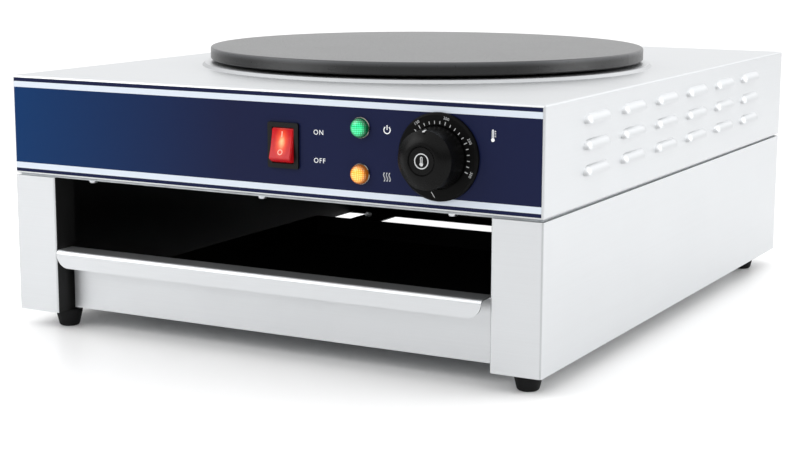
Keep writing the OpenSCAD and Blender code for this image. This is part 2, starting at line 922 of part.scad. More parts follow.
module insulation_disc() {
    color("#E9E4D6") difference() {
        rod_z(0, plate_y, insulation_z, clamp_z, heater_d / 2, $fn = round_fn);
        heater_holes(insulation_z - cut, clamp_z + cut, leg_d / 2 + pass_gap);
        box(
            [-bulb_l / 2 - pass_gap, bulb_y - bulb_rib_w / 2 - pass_gap, plate_z - bulb_rib_h - pass_gap],
            [bulb_l / 2 + pass_gap, bulb_y + bulb_rib_w / 2 + pass_gap, clamp_z + cut]
        );
    }
}

module reflector_pan() {
    color(steel) difference() {
        translate([0, plate_y, 0]) rotate_extrude($fn = round_fn) polygon([
            [0, pan_floor_z],
            [pan_r, pan_floor_z],
            [pan_r, pan_top_z - pan_t],
            [pan_r + pan_rim_w, pan_top_z - pan_t],
            [pan_r + pan_rim_w, pan_top_z],
            [pan_r - pan_t, pan_top_z],
            [pan_r - pan_t, insulation_z],
            [0, insulation_z]
        ]);
        heater_holes(pan_floor_z - cut, insulation_z + cut, stud_d / 2 + pass_gap / 2);
    }
}

module thermostat_capillary() {
    body_top = controls_z + thermostat_h / 2 - 6;
    color("#B9793F") union() {
        translate([-bulb_l / 2 + 4, bulb_y, bulb_z]) rotate([0, 90, 0])
            cylinder(r = bulb_d / 2, h = bulb_l - 4);
        wire([
            [bulb_l / 2, bulb_y, bulb_z],
            [capillary_x, bulb_y, bulb_z],
            [capillary_x, bulb_y, pan_floor_z - 8],
            [dial_x - 30, thermostat_back_y + 30, body_top],
            [dial_x, thermostat_back_y + 16, body_top],
            [dial_x, thermostat_back_y, body_top]
        ], capillary_r);
    }
}

module limit_cutout() {
    x = -60;
    y = plate_y;
    color(bakelite) union() {
        rod_z(x, y, pan_floor_z - 2, pan_floor_z, 12);
        rod_z(x, y, pan_floor_z - 11, pan_floor_z, 8);
        for (dx = [-5, 5])
            box(
                [x + dx - blade_t / 2, y - blade_w / 2, pan_floor_z - 11 - blade_l],
                [x + dx + blade_t / 2, y + blade_w / 2, pan_floor_z - 10]
            );
    }
}

// ---------------------------------------------------------------- controls

module thermostat_body() {
    color(zinc) difference() {
        union() {
            box(
                [dial_x - thermostat_w / 2, front_y + sheet, controls_z - thermostat_h / 2],
                [dial_x + thermostat_w / 2, thermostat_back_y, controls_z + thermostat_h / 2]
            );
            rod_y(dial_x, overlay_y - bushing_h, front_y + 2 * sheet, controls_z, bushing_r);
            for (dx = [-10, 10])
                box(
                    [dial_x + dx - blade_t / 2, thermostat_back_y - cut, controls_z - 8 - blade_w / 2],
                    [dial_x + dx + blade_t / 2, thermostat_back_y + blade_l, controls_z - 8 + blade_w / 2]
                );
        }
        rod_y(dial_x, overlay_y - bushing_h - cut, shaft_root_y, controls_z, shaft_r + run_gap);
        for (x = [-thermostat_screw_x, thermostat_screw_x])
            rod_y(dial_x + x, front_y, front_y + sheet + 9, controls_z, m4_r);
    }
}

module thermostat_screws() {
    head_y = overlay_y - dial_floor_t;
    color(zinc) for (x = [-thermostat_screw_x, thermostat_screw_x])
        rotate([0, 0, 0]) screw_y(dial_x + x, head_y, controls_z, front_y + sheet + 8 - head_y, 1);
}

module dial_bezel() {
    outer = dial_d / 2;
    color(bakelite) difference() {
        turned_front(dial_x, overlay_y, controls_z) polygon([
            [bushing_r + pass_gap, 0],
            [outer, 0],
            [outer, dial_t - dial_chamfer],
            [outer - dial_chamfer, dial_t],
            [dial_well_r, dial_t],
            [dial_well_r, dial_floor_t],
            [bushing_r + pass_gap, dial_floor_t]
        ]);
        for (x = [-thermostat_screw_x, thermostat_screw_x])
            rod_y(dial_x + x, overlay_y - dial_t, overlay_y + cut, controls_z, m4_hole_r);
    }
}

// The shaft has a flat over the length that the grip holds
module shaft_form(r, y0, y1) {
    difference() {
        rod_y(dial_x, y0, y1, controls_z, r);
        box(
            [dial_x - shaft_d, y0 - cut, controls_z - shaft_d],
            [dial_x + shaft_d, overlay_y - grip_base_h, controls_z - r + shaft_flat]
        );
    }
}

module thermostat_shaft() {
    color(zinc) shaft_form(shaft_r, overlay_y - shaft_end_h, shaft_root_y - 0.5);
}

module knob_grip() {
    dome_w = grip_rim_r - cap_r - 0.8;
    notch_w = 2;
    notch_l = 6;
    color(bakelite) difference() {
        turned_front(dial_x, overlay_y, controls_z) polygon(concat(
            [[0, grip_base_h], [grip_d / 2 - 0.6, grip_base_h], [grip_d / 2, grip_base_h + 0.6]],
            [for (t = [0 : 0.125 : 1])
                [grip_rim_r - dome_w * t, grip_face_h - grip_dome_h + grip_dome_h * sin(90 * t)]],
            [[cap_r, cap_floor_h + 0.6], [cap_r, cap_floor_h], [0, cap_floor_h]]
        ));
        shaft_form(shaft_r, overlay_y - shaft_end_h - 0.5, overlay_y);
        // pointer notch at the top of the rim
        box(
            [dial_x - notch_w / 2, overlay_y - grip_face_h, controls_z + grip_rim_r - 1.2],
            [dial_x + notch_w / 2, overlay_y - grip_face_h + grip_dome_h + notch_l, controls_z + grip_d]
        );
    }
}

module knob_cap() {
    color(bakelite)
        rod_y(dial_x, overlay_y - cap_floor_h - cap_t, overlay_y - cap_floor_h, controls_z, cap_r - 0.1);
}

module switch_body() {
    well_w = rocker_w + 2 * rocker_gap;
    well_h = 2 * (rocker_r + rocker_gap);
    well_l = rocker_face - rocker_stand + rocker_r * 0.72;
    color(bakelite) difference() {
        union() {
            along_y(bezel_y, overlay_y)
                round_rect(switch_x - switch_w / 2, controls_z - switch_h / 2,
                           switch_x + switch_w / 2, controls_z + switch_h / 2, 1.5);
            box(
                [switch_x - switch_case_w / 2, overlay_y - cut / 2, controls_z - switch_case_h / 2],
                [switch_x + switch_case_w / 2, switch_back_y, controls_z + switch_case_h / 2]
            );
            for (dx = [-switch_blade_dx, switch_blade_dx], dz = [-switch_blade_dz, switch_blade_dz])
                box(
                    [switch_x + dx - blade_t / 2, switch_back_y - cut, controls_z + dz - blade_w / 2],
                    [switch_x + dx + blade_t / 2, switch_back_y + blade_l, controls_z + dz + blade_w / 2]
                );
        }
        box(
            [switch_x - well_w / 2, bezel_y - cut, controls_z - well_h / 2],
            [switch_x + well_w / 2, bezel_y + well_l, controls_z + well_h / 2]
        );
        translate([switch_x, rocker_y, controls_z]) rotate([0, 90, 0])
            cylinder(r = rocker_pin_r + run_gap, h = well_w + 2 * rocker_pin_l, center = true);
    }
}

// The rocker is drawn level about its pivot, then tilted with its upper half in
module switch_rocker() {
    dish_r = 70;
    dish = 0.8;
    color("#D2231E") translate([switch_x, rocker_y, controls_z]) rotate([-rocker_tilt, 0, 0]) union() {
        difference() {
            rotate([0, 90, 0]) cylinder(r = rocker_r, h = rocker_w, center = true, $fn = round_fn);
            box([-rocker_w, rocker_back, -2 * rocker_r], [rocker_w, 2 * rocker_r, 2 * rocker_r]);
            box([-rocker_w, -2 * rocker_r, -2 * rocker_r], [rocker_w, -rocker_face, 2 * rocker_r]);
            // shallow dish for the finger
            translate([0, -rocker_face - dish_r + dish, 0]) rotate([0, 90, 0])
                cylinder(r = dish_r, h = 2 * rocker_w, center = true, $fn = 2 * round_fn);
        }
        rotate([0, 90, 0])
            cylinder(r = rocker_pin_r, h = rocker_w + 2 * rocker_gap + 2 * rocker_pin_l - 0.4, center = true);
    }
}

module lamp_body(z) {
    color(zinc) union() {
        turned_front(lamp_x, overlay_y, z) polygon([
            [0, 0], [lamp_d / 2, 0], [lamp_d / 2, lamp_rim_t * 0.6],
            [lamp_d / 2 - 0.4, lamp_rim_t], [0, lamp_rim_t]
        ]);
        rod_y(lamp_x, overlay_y - cut / 2, lamp_back_y, z, lamp_thread_r);
        for (dx = [-3, 3])
            box(
                [lamp_x + dx - blade_t / 2, lamp_back_y - cut, z - 1.5],
                [lamp_x + dx + blade_t / 2, lamp_back_y + blade_l, z + 1.5]
            );
    }
}

module lamp_lens(z, tint) {
    ball_r = (lamp_lens_r * lamp_lens_r + lamp_dome_h * lamp_dome_h) / (2 * lamp_dome_h);
    base_y = overlay_y - lamp_rim_t;
    color(tint) intersection() {
        translate([lamp_x, base_y + ball_r - lamp_dome_h, z]) rotate([90, 0, 0]) sphere(ball_r);
        rod_y(lamp_x, base_y - lamp_dome_h, base_y, z, lamp_lens_r);
    }
}

module lamp_nut(z) {
    y = front_y + sheet;
    color(bakelite) difference() {
        translate([lamp_x, y + lamp_nut_h, z]) rotate([90, 0, 0]) cylinder(r = 8.6, h = lamp_nut_h, $fn = 6);
        rod_y(lamp_x, y - cut, y + lamp_nut_h + cut, z, lamp_thread_r);
    }
}

module power_lamp_lens() { lamp_lens(power_lamp_z, "#1E9E63"); }
module power_lamp_body() { lamp_body(power_lamp_z); }
module power_lamp_nut() { lamp_nut(power_lamp_z); }
module heat_lamp_lens() { lamp_lens(heat_lamp_z, "#F0952A"); }
module heat_lamp_body() { lamp_body(heat_lamp_z); }
module heat_lamp_nut() { lamp_nut(heat_lamp_z); }

// ---------------------------------------------------------------- wiring

module terminal_block() {
    color("#EDEBE4") difference() {
        box(
            [block_x - block_w / 2, block_y - block_d / 2, housing_z],
            [block_x + block_w / 2, block_y + block_d / 2, housing_z + block_h]
        );
        for (i = [-1 : 1], y = [-6, 6])
            rod_z(block_x + i * 13, block_y + y, housing_z + block_h - 6, housing_z + block_h + cut, 2.4);
    }
}

module earth_stud() {
    color(zinc) union() {
        rod_z(earth_x, earth_y, cabinet_top, housing_z + earth_h, m5_r);
        hex_z(earth_x, earth_y, housing_z, housing_z + m5_nut_h, m5_nut_r);
    }
}

module internal_wires() {
    low_z = housing_z + 8;
    front_lane_y = front_y + 60;
    block_front_y = block_y - block_d / 2;
    switch_y = switch_back_y + blade_l;
    thermo_y = thermostat_back_y + blade_l;
    lamp_y = lamp_back_y + blade_l;
    upper = controls_z + switch_blade_dz;
    lower = controls_z - switch_blade_dz;
    cutout_x = -60;
    cutout_z = pan_floor_z - 11 - blade_l;
    pin_z = pan_floor_z - element_pin;
    inner_pin = ring_point(element_inner_r, element_open, pin_z);
    outer_pin = ring_point(element_outer_r, element_open, pin_z);
    color("#B23A2E") {
        // live and neutral, from the terminal block to the switch
        wire([
            [block_x, block_front_y, low_z],
            [switch_x + switch_blade_dx + 8, front_lane_y + 20, low_z],
            [switch_x + switch_blade_dx, switch_y + 6, upper],
            [switch_x + switch_blade_dx, switch_y, upper]
        ], wire_r);
        wire([
            [block_x - 13, block_front_y, low_z],
            [switch_x - switch_blade_dx - 8, front_lane_y + 20, low_z],
            [switch_x - switch_blade_dx, switch_y + 6, upper],
            [switch_x - switch_blade_dx, switch_y, upper]
        ], wire_r);
        // switched live to the thermostat
        wire([
            [switch_x + switch_blade_dx, switch_y, lower],
            [switch_x + switch_blade_dx, switch_y + 10, lower],
            [dial_x - 10, thermo_y + 14, low_z + 10],
            [dial_x - 10, thermo_y + 6, controls_z - 8],
            [dial_x - 10, thermo_y, controls_z - 8]
        ], wire_r);
        // thermostat to the limit cut-out
        wire([
            [dial_x + 10, thermo_y, controls_z - 8],
            [dial_x + 10, thermo_y + 6, controls_z - 8],
            [dial_x + 10, thermo_y + 18, low_z + 2],
            [cutout_x - 5, plate_y - 20, low_z + 22],
            [cutout_x - 5, plate_y, cutout_z - 10],
            [cutout_x - 5, plate_y, cutout_z]
        ], wire_r);
        // limit cut-out to the inner cold end
        wire([
            [cutout_x + 5, plate_y, cutout_z],
            [cutout_x + 5, plate_y, cutout_z - 10],
            inner_pin + [0, 0, -18],
            inner_pin
        ], wire_r);
        // neutral from the switch to the outer cold end
        wire([
            [switch_x - switch_blade_dx, switch_y, lower],
            [switch_x - switch_blade_dx, switch_y + 14, lower],
            [outer_pin[0], plate_y - 20, pin_z - 16],
            outer_pin + [0, 0, -10],
            outer_pin
        ], wire_r);
        // a lead between the two lamps
        wire([
            [lamp_x - 3, lamp_y, power_lamp_z],
            [lamp_x - 3, lamp_y + 6, power_lamp_z],
            [lamp_x - 3, lamp_y + 6, heat_lamp_z],
            [lamp_x - 3, lamp_y, heat_lamp_z]
        ], wire_r);
    }
}

// ---------------------------------------------------------------- gland

module gland_body() {
    color(rubber) difference() {
        union() {
            rod_y(gland_x, rear_y - gland_inside_l, rear_y + gland_hex_l / 2, gland_z, gland_thread_r);
            translate([gland_x, rear_y + gland_hex_l, gland_z]) rotate([90, 0, 0])
                cylinder(r = gland_hex_r, h = gland_hex_l, $fn = 6);
            rod_y(gland_x, rear_y, rear_y + gland_front_l, gland_z, gland_front_r);
        }
        rod_y(gland_x, rear_y - gland_inside_l - cut, rear_y + gland_front_l + cut, gland_z, gland_bore_r);
        rod_y(gland_x, rear_y + gland_seat_l, rear_y + gland_front_l + cut, gland_z, gland_seat_r);
    }
}

module gland_nut() {
    y = rear_y - sheet;
    color(rubber) difference() {
        translate([gland_x, y, gland_z]) rotate([90, 0, 0]) cylinder(r = gland_hex_r, h = gland_nut_l, $fn = 6);
        rod_y(gland_x, y - gland_nut_l - cut, y + cut, gland_z, gland_thread_r);
    }
}

module gland_cap() {
    y0 = gland_hex_l + gland_cap_gap;
    y1 = gland_reach;
    color(rubber) turned_rear(gland_x, rear_y, gland_z) polygon([
        [gland_front_r + run_gap, y0],
        [gland_cap_r, y0],
        [gland_cap_r, y1 - 4],
        [gland_cap_r - 3, y1],
        [gland_bore_r, y1],
        [gland_bore_r, y1 - 3],
        [gland_front_r + run_gap, y1 - 5]
    ]);
}

module gland_seal() {
    color("#3A3A3C") turned_rear(gland_x, rear_y, gland_z) polygon([
        [cable_d / 2, gland_seat_l],
        [gland_seat_r, gland_seat_l],
        [gland_seat_r, gland_front_l],
        [cable_d / 2, gland_front_l]
    ]);
}

// ---------------------------------------------------------------- tray

// The tray's solid form, moved in by i on every face but the top
module tray_form(i, top) {
    r = i > 0 ? fold_in : bend_r;
    x = tray_w / 2 - i;
    y0 = tray_front_y + sheet + i;
    y1 = tray_front_y + sheet + tray_l - i;
    over = 4 * bend_r;
    intersection() {
        along_y(y0, y1) round_rect(-x, tray_z + i, x, top + over, r);
        along_x(-x, x) round_rect(y0, tray_z + i, y1, top + over, r);
        flat(tray_z, top) round_rect(-x, y0, x, y1, r);
    }
}

module drawer_tray() {
    top = tray_z + tray_h;
    color(steel) difference() {
        tray_form(0, top);
        tray_form(sheet, top + cut);
    }
}

// Section of the tray's front in y and z: panel, ledge and lip
module front_profile() {
    y0 = lip_y;
    y1 = tray_front_y + sheet;
    r = hand_fold_r;
    difference() {
        round_rect(y0, tray_z - 4 * r, y1, tray_top_z, r);
        round_rect(y0 + sheet, tray_z - 5 * r, y1 - sheet, tray_top_z - sheet, r - sheet);
        translate([y0 - cut, tray_z - 6 * r])
            square([ledge_l - sheet, tray_front_h - lip_h + 6 * r]);
        translate([y0 - cut, tray_z - 6 * r]) square([2 * ledge_l, 6 * r]);
    }
}

module drawer_front() {
    half = tray_front_w / 2;
    r = lip_corner_r;
    color(steel) intersection() {
        along_x(-half, half) front_profile();
        // the lip's lower corners are rounded
        union() {
            box([-half, lip_y + hand_fold_r, 0], [half, tray_front_y + 2 * sheet, tray_top_z + cut]);
            along_y(lip_y - cut, lip_y + hand_fold_r)
                round_rect(-half, tray_top_z - lip_h, half, tray_top_z + 2 * r, r);
        }
    }
}

// ---------------------------------------------------------------- nodes

upper_housing();
rear_panel();
base_plate();
control_overlay();
cabinet_side_left();
cabinet_side_right();
cabinet_rear();
runner_left();
runner_right();
foot_front_left();
foot_front_right();
foot_rear_left();
foot_rear_right();
foot_screws();
foot_nuts();
front_screws();
cabinet_screws();
frame_nuts();
rear_panel_screws();
crepe_plate();
plate_studs();
plate_spacers();
stud_nuts();
heating_element();
element_clamp();
insulation_disc();
reflector_pan();
thermostat_body();
thermostat_screws();
thermostat_capillary();
limit_cutout();
dial_bezel();
knob_grip();
knob_cap();
thermostat_shaft();
switch_body();
switch_rocker();
power_lamp_lens();
power_lamp_body();
power_lamp_nut();
heat_lamp_lens();
heat_lamp_body();
heat_lamp_nut();
terminal_block();
earth_stud();
internal_wires();
gland_body();
gland_nut();
gland_cap();
gland_seal();
drawer_tray();
drawer_front();
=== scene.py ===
"""Electric crepe maker: the finishes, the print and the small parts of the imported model.

Metres, in the model's own frame: X to the right, Y to the back, Z up from the table.
"""
import json
import math

import bmesh
import bpy
from bpy.props import FloatProperty, FloatVectorProperty, IntProperty, PointerProperty
from mathutils import Matrix, Vector


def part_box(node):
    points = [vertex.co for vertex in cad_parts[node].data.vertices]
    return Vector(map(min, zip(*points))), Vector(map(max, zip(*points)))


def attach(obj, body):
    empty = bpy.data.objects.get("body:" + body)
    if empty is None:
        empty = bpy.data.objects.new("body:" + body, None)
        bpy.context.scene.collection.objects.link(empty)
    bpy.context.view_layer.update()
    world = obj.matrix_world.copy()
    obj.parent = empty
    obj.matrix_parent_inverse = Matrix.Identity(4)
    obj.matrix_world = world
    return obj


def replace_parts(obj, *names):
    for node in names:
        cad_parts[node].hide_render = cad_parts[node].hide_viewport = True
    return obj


bl_info = {
    "name": "Electric crepe maker",
    "version": (1, 0, 0),
    "blender": (4, 5, 0),
    "location": "3D View > Sidebar > Crepe maker",
    "description": "Finishes, print and small parts of an electric crepe maker",
    "category": "Object",
}

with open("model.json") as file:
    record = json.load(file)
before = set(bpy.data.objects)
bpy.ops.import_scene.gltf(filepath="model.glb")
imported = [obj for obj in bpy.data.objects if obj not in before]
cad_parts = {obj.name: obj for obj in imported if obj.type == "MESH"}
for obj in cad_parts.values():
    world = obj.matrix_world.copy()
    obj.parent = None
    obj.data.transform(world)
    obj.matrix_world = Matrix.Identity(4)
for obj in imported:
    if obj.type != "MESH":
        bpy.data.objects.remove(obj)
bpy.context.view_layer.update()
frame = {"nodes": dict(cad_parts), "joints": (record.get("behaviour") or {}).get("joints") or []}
MM = 0.001


def linear(code):
    """An sRGB hex colour as linear red, green and blue."""
    parts = [int(code[i:i + 2], 16) / 255 for i in (1, 3, 5)]
    return tuple(c / 12.92 if c <= 0.04045 else ((c + 0.055) / 1.055) ** 2.4 for c in parts)


def colour_prop(name, description, code):
    """A colour that a user can change, kept in linear values."""
    return FloatVectorProperty(
        name=name, description=description, subtype="COLOR", size=3, min=0, max=1, default=linear(code)
    )


def size_prop(name, description, millimetres):
    """A length that a user can change, given here in millimetres."""
    return FloatProperty(
        name=name, description=description, unit="LENGTH", subtype="DISTANCE", min=0, default=millimetres * MM
    )


class CrepeMakerSizes(bpy.types.PropertyGroup):
    """Sizes of the print and the small parts"""

    ink_height: size_prop("Ink height", "How far the printed ink stands proud", 0.05)
    tick_length: size_prop("Dial tick", "Length of a tick on the dial", 2.6)
    tick_width: size_prop("Dial tick width", "Width of a tick on the dial", 0.6)
    tick_start: size_prop("Dial tick start", "Radius at which the ticks start", 25.1)
    numeral_height: size_prop("Dial numerals", "Height of the numerals on the dial", 2.1)
    numeral_radius: size_prop("Numeral circle", "Radius of the circle that the numerals sit on", 30.3)
    label_height: size_prop("Switch labels", "Height of the letters beside the switch", 3.8)
    sign_height: size_prop("Panel signs", "Height of the signs beside the lamps and the dial", 6.8)
    cap_ring_radius: size_prop("Knob ring", "Outer radius of the ring printed on the knob's cap", 5.9)
    lens_facet: size_prop("Lens facets", "Distance between the facets moulded inside a lamp lens", 1.5)
    rocker_bevel: size_prop("Rocker edges", "Rounding of the rocker's edges", 0.7)
    gland_ribs: IntProperty(
        name="Gland ribs", description="Grip ribs round the cable gland's cap", min=6, default=16
    )


class CrepeMakerColours(bpy.types.PropertyGroup):
    """Colours of the materials"""

    steel: colour_prop("Stainless steel", "Satin finished stainless sheet", "#D4D6D8")
    # Near black, used as painted shade on the inside faces of the shells and under the base plate
    inside_shade: colour_prop("Inside shade", "Painted shade on the inside faces", "#0D0D0D")
    zinc: colour_prop("Zinc plate", "Bright zinc on screws and nuts", "#C9CCCE")
    iron_coat: colour_prop("Plate coating", "Baked coating on the cast plate", "#3F4042")
    # The printed field fades from the first of these at the left to the second at the right: painted light
    # from the left, with painted shade to the right
    field_lit_blue: colour_prop("Panel blue", "Printed blue with painted light, at the panel's left end", "#06305F")
    navy_print_and_shade: colour_prop("Panel navy", "Navy print, and painted shade at the panel's right end", "#151B3B")
    print_white: colour_prop("Panel stripe", "Pale stripes of the panel's print", "#D2DAE4")
    ink: colour_prop("White ink", "Ink of the marks and numerals", "#F2F4F5")
    black_plastic: colour_prop("Black plastic", "Knob, dial and switch frame", "#0A0A0A")
    rocker_red: colour_prop("Rocker red", "Tinted switch rocker", "#B80F18")
    rocker_glow: colour_prop("Rocker glow", "Lamp behind the rocker", "#FFA070")
    lamp_green: colour_prop("Green lens", "Tinted lens of the power lamp", "#00814A")
    lamp_amber: colour_prop("Amber lens", "Tinted lens of the heating lamp", "#F07F00")
    rubber: colour_prop("Rubber", "Feet and cable seal", "#0D0D0E")


def sizes():
    """The sizes that this scene holds."""
    return bpy.context.scene.crepe_maker_sizes


def colours():
    """The colours that this scene holds."""
    return bpy.context.scene.crepe_maker_colours


# ------------------------------------------------------------------ material nodes

# Nearly all values of a noise pattern lie between these two
NOISE = {"From Min": 0.3, "From Max": 0.7}


def connect(node, sockets):
    """Gives inputs, by number or name, a value, an output or a node's output. Only sockets in use count."""
    for key, value in sockets.items():
        if isinstance(key, int):
            socket = node.inputs[key]
        else:
            socket = next(s for s in node.inputs if s.enabled and s.name == key)
        if isinstance(value, bpy.types.Node):
            value = next(s for s in value.outputs if s.enabled)
        if isinstance(value, bpy.types.NodeSocket):
            node.id_data.links.new(value, socket)
        elif socket.type == "RGBA" and len(value) == 3:
            socket.default_value = (*value, 1)
        else:
            socket.default_value = value


def add(tree, kind, sockets=(), **settings):
    """Adds a shader node with its settings, and with values and links on its inputs."""
    made = tree.nodes.new("ShaderNode" + kind)
    for key, value in settings.items():
        setattr(made, key, value)
    connect(made, dict(sockets))
    return made


def material(name, **values):
    """A new material; values are the constants on its shader's own sockets, named with underscores."""
    made = bpy.data.materials.new(name)
    made.use_nodes = True
    shader = made.node_tree.nodes["Principled BSDF"]
    connect(shader, {key.replace("_", " "): value for key, value in values.items()})
    return made, made.node_tree, shader


def darker(colour, share):
    """That share of a colour; a share above 1 makes it lighter."""
    return tuple(min(1.0, c * share) for c in colour)


def grain(tree, size, detail=2.0, stretch=(1, 1, 1)):
    """Noise whose grains are that many metres across, longer along an axis with a small stretch factor."""
    place = add(tree, "TexCoord")
    scaled = add(tree, "Mapping", {"Vector": place.outputs["Object"], "Scale": [s / size for s in stretch]})
    return add(tree, "TexNoise", {"Vector": scaled, "Scale": 1.0, "Detail": detail})


def outer_faces(tree, centre):
    """1 on the faces of a folded shell that look away from its centre, and 0 on those inside."""
    place = add(tree, "TexCoord")
    away = add(tree, "VectorMath", {0: place.outputs["Object"], 1: centre}, operation="SUBTRACT")
    along = add(tree, "VectorMath", {0: away, 1: place.outputs["Normal"]}, operation="DOT_PRODUCT")
    return add(tree, "Math", {0: along, 1: 0.0}, operation="GREATER_THAN")


def satin_streaks(tree):
    """Fine belt scratches that run along X, and along Y on the sides.

    Real ones are 0.1 mm apart and don't show, so they are drawn 1.1 mm apart.
    """
    apart, along = 1.1 * MM, 0.006
    facing = add(tree, "SeparateXYZ", {0: add(tree, "TexCoord").outputs["Normal"]})
    sideways = add(tree, "Math", {0: facing.outputs["X"]}, operation="ABSOLUTE")
    on_side = add(tree, "Math", {0: sideways, 1: 0.7}, operation="GREATER_THAN")
    return add(tree, "Mix", {"Factor": on_side, "A": grain(tree, apart, 1.0, (along, 1, 1)),
                             "B": grain(tree, apart, 1.0, (1, along, 1))})


def painted_fold_shadows(tree):
    """1 where a shadow line is painted on the sheet: down the upright cabinet corners, and round the ring
    under the plate.
    """
    corner_width, corner_depth = 1.5 * MM, 0.9 * MM
    place = add(tree, "TexCoord")
    at = add(tree, "SeparateXYZ", {0: place.outputs["Object"]})
    facing = add(tree, "SeparateXYZ", {0: place.outputs["Normal"]})
    # Painted shadow round the sloping ring that stands up under the plate
    raised = add(tree, "Math", {0: at.outputs["Z"], 1: panel_top() + 0.1 * MM}, operation="GREATER_THAN")
    sloping = add(tree, "MapRange", {"Value": facing.outputs["Z"], "From Min": 0.80, "From Max": 0.99,
                                     "To Min": 1.0, "To Max": 0.0})
    ring_shadow = add(tree, "Math", {0: raised, 1: sloping}, operation="MULTIPLY")
    # Painted shadow line down the front edge of each upright cabinet corner
    low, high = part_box("cabinet_side_right")
    outward = add(tree, "Math", {0: at.outputs["X"]}, operation="ABSOLUTE")
    far_out = add(tree, "Math", {0: outward, 1: high.x - corner_width}, operation="GREATER_THAN")
    ahead = add(tree, "Math", {0: at.outputs["Y"], 1: low.y + corner_depth}, operation="LESS_THAN")
    under = add(tree, "Math", {0: at.outputs["Z"], 1: high.z}, operation="LESS_THAN")
    edge = add(tree, "Math", {0: far_out, 1: ahead}, operation="MULTIPLY")
    corner = add(tree, "Math", {0: edge, 1: under}, operation="MULTIPLY")
    return add(tree, "Math", {0: ring_shadow, 1: corner}, operation="MAXIMUM")


def satin_stainless(name, centre):
    """Austenitic stainless sheet, belt-ground to satin: a pale, soft mirror with fine straight streaks.

    The faces that look towards the centre carry near-black, matt painted shade, which keeps the inside dark,
    and the folds carry painted shadow lines.
    """
    # The inside colour is painted shade, put on the faces inside each shell
    steel, inner_shade = tuple(colours().steel), tuple(colours().inside_shade)
    made, tree, shader = material(name, Base_Color=steel, Metallic=1.0, Roughness=0.42)
    streaks, clouds = satin_streaks(tree), grain(tree, 70 * MM)
    streaked = add(tree, "MapRange", {"Value": streaks, **NOISE, "To Min": 0.40, "To Max": 0.44})
    clouded = add(tree, "MapRange", {"Value": clouds, **NOISE, "To Min": -0.02, "To Max": 0.02})
    rough = add(tree, "Math", {0: streaked, 1: clouded}, operation="ADD")
    lines = add(tree, "MapRange", {"Value": streaks, **NOISE})
    ground = add(tree, "Mix", {"Factor": lines, "A": darker(steel, 0.975), "B": steel}, data_type="RGBA")
    # Painted shadow: where the sheet folds, the steel is darkened to 0.78 of its colour
    shade = add(tree, "Mix", {"Factor": painted_fold_shadows(tree), "A": ground, "B": darker(steel, 0.78)}, data_type="RGBA")
    # outer is 0 on the faces inside the shell, which get the matt painted shade in place of steel
    outer = outer_faces(tree, centre)
    connect(shader, {
        "Base Color": add(tree, "Mix", {"Factor": outer, "A": inner_shade, "B": shade}, data_type="RGBA"),
        "Metallic": outer,
        "Roughness": add(tree, "Mix", {"Factor": outer, "A": 0.62, "B": rough}),
        "Normal": add(tree, "Bump", {"Strength": 0.03, "Distance": 0.02 * MM, "Height": streaks}),
    })
    return made


def speckled(name, base, rough, grain_size, depth, metallic=0.0, contrast=0.12, ior=1.5, gloss=0.5):
    """A plain part whose moulded, plated or fired surface is broken up by fine grain of that size."""
    made, tree, shader = material(name, Base_Color=base, Metallic=metallic, Roughness=rough, IOR=ior,
                                  Specular_IOR_Level=gloss)
    fine, broad = grain(tree, grain_size, 3.0), grain(tree, grain_size * 14)
    patches = add(tree, "MapRange", {"Value": broad, **NOISE})
    connect(shader, {
        "Base Color": add(tree, "Mix", {"Factor": patches, "A": darker(base, 1 - contrast),
                                        "B": darker(base, 1 + contrast)}, data_type="RGBA"),
        "Roughness": add(tree, "MapRange", {"Value": fine, **NOISE, "To Min": rough - 0.05,
                                            "To Max": rough + 0.05}),
        "Normal": add(tree, "Bump", {"Strength": 0.25, "Distance": depth, "Height": fine}),
    })
    return made


def dress(finish, *names):
    """Gives CAD nodes a material."""
    for name in names:
        mesh = frame["nodes"][name].data
        mesh.materials.clear()
        mesh.materials.append(finish)


def panel_top():
    """Height of the housing's top sheet: its front panel's film stops 2 mm below."""
    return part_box("control_overlay")[1].z + 2 * MM


# ------------------------------------------------------------------ shapes


def piece(name, bm, finish, body, smooth=40):
    """Turns a bmesh into an object that rides on a body, with edges sharper than smooth degrees kept."""
    bmesh.ops.remove_doubles(bm, verts=bm.verts, dist=1e-7)
    bmesh.ops.recalc_face_normals(bm, faces=bm.faces)
    mesh = bpy.data.meshes.new(name)
    bm.to_mesh(mesh)
    bm.free()
    mesh.shade_smooth()
    mesh.set_sharp_from_angle(angle=math.radians(smooth))
    mesh.materials.append(finish)
    made = bpy.data.objects.new(name, mesh)
    bpy.context.scene.collection.objects.link(made)
    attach(made, body)
    return made


def facing_front(x, y, z):
    """The plane of the front panel: drawn X goes right, drawn Y goes up and drawn Z comes forward."""
    return Matrix(((1, 0, 0, x), (0, 0, -1, y), (0, 1, 0, z), (0, 0, 0, 1)))


def facing_back(x, y, z):
    """The plane of the rear panel, seen from behind."""
    return Matrix(((-1, 0, 0, x), (0, 0, 1, y), (0, 1, 0, z), (0, 0, 0, 1)))


def polygon(bm, points, place=Matrix()):
    """A flat face through drawn points."""
    return bm.faces.new([bm.verts.new(place @ Vector((x, y, 0))) for x, y in points])


def bar(bm, x, y, width, height, turn=0.0):
    """A drawn bar about its centre, turned by radians."""
    here = Matrix.Translation((x, y, 0)) @ Matrix.Rotation(turn, 4, "Z")
    w, h = width / 2, height / 2
    polygon(bm, [(-w, -h), (w, -h), (w, h), (-w, h)], here)


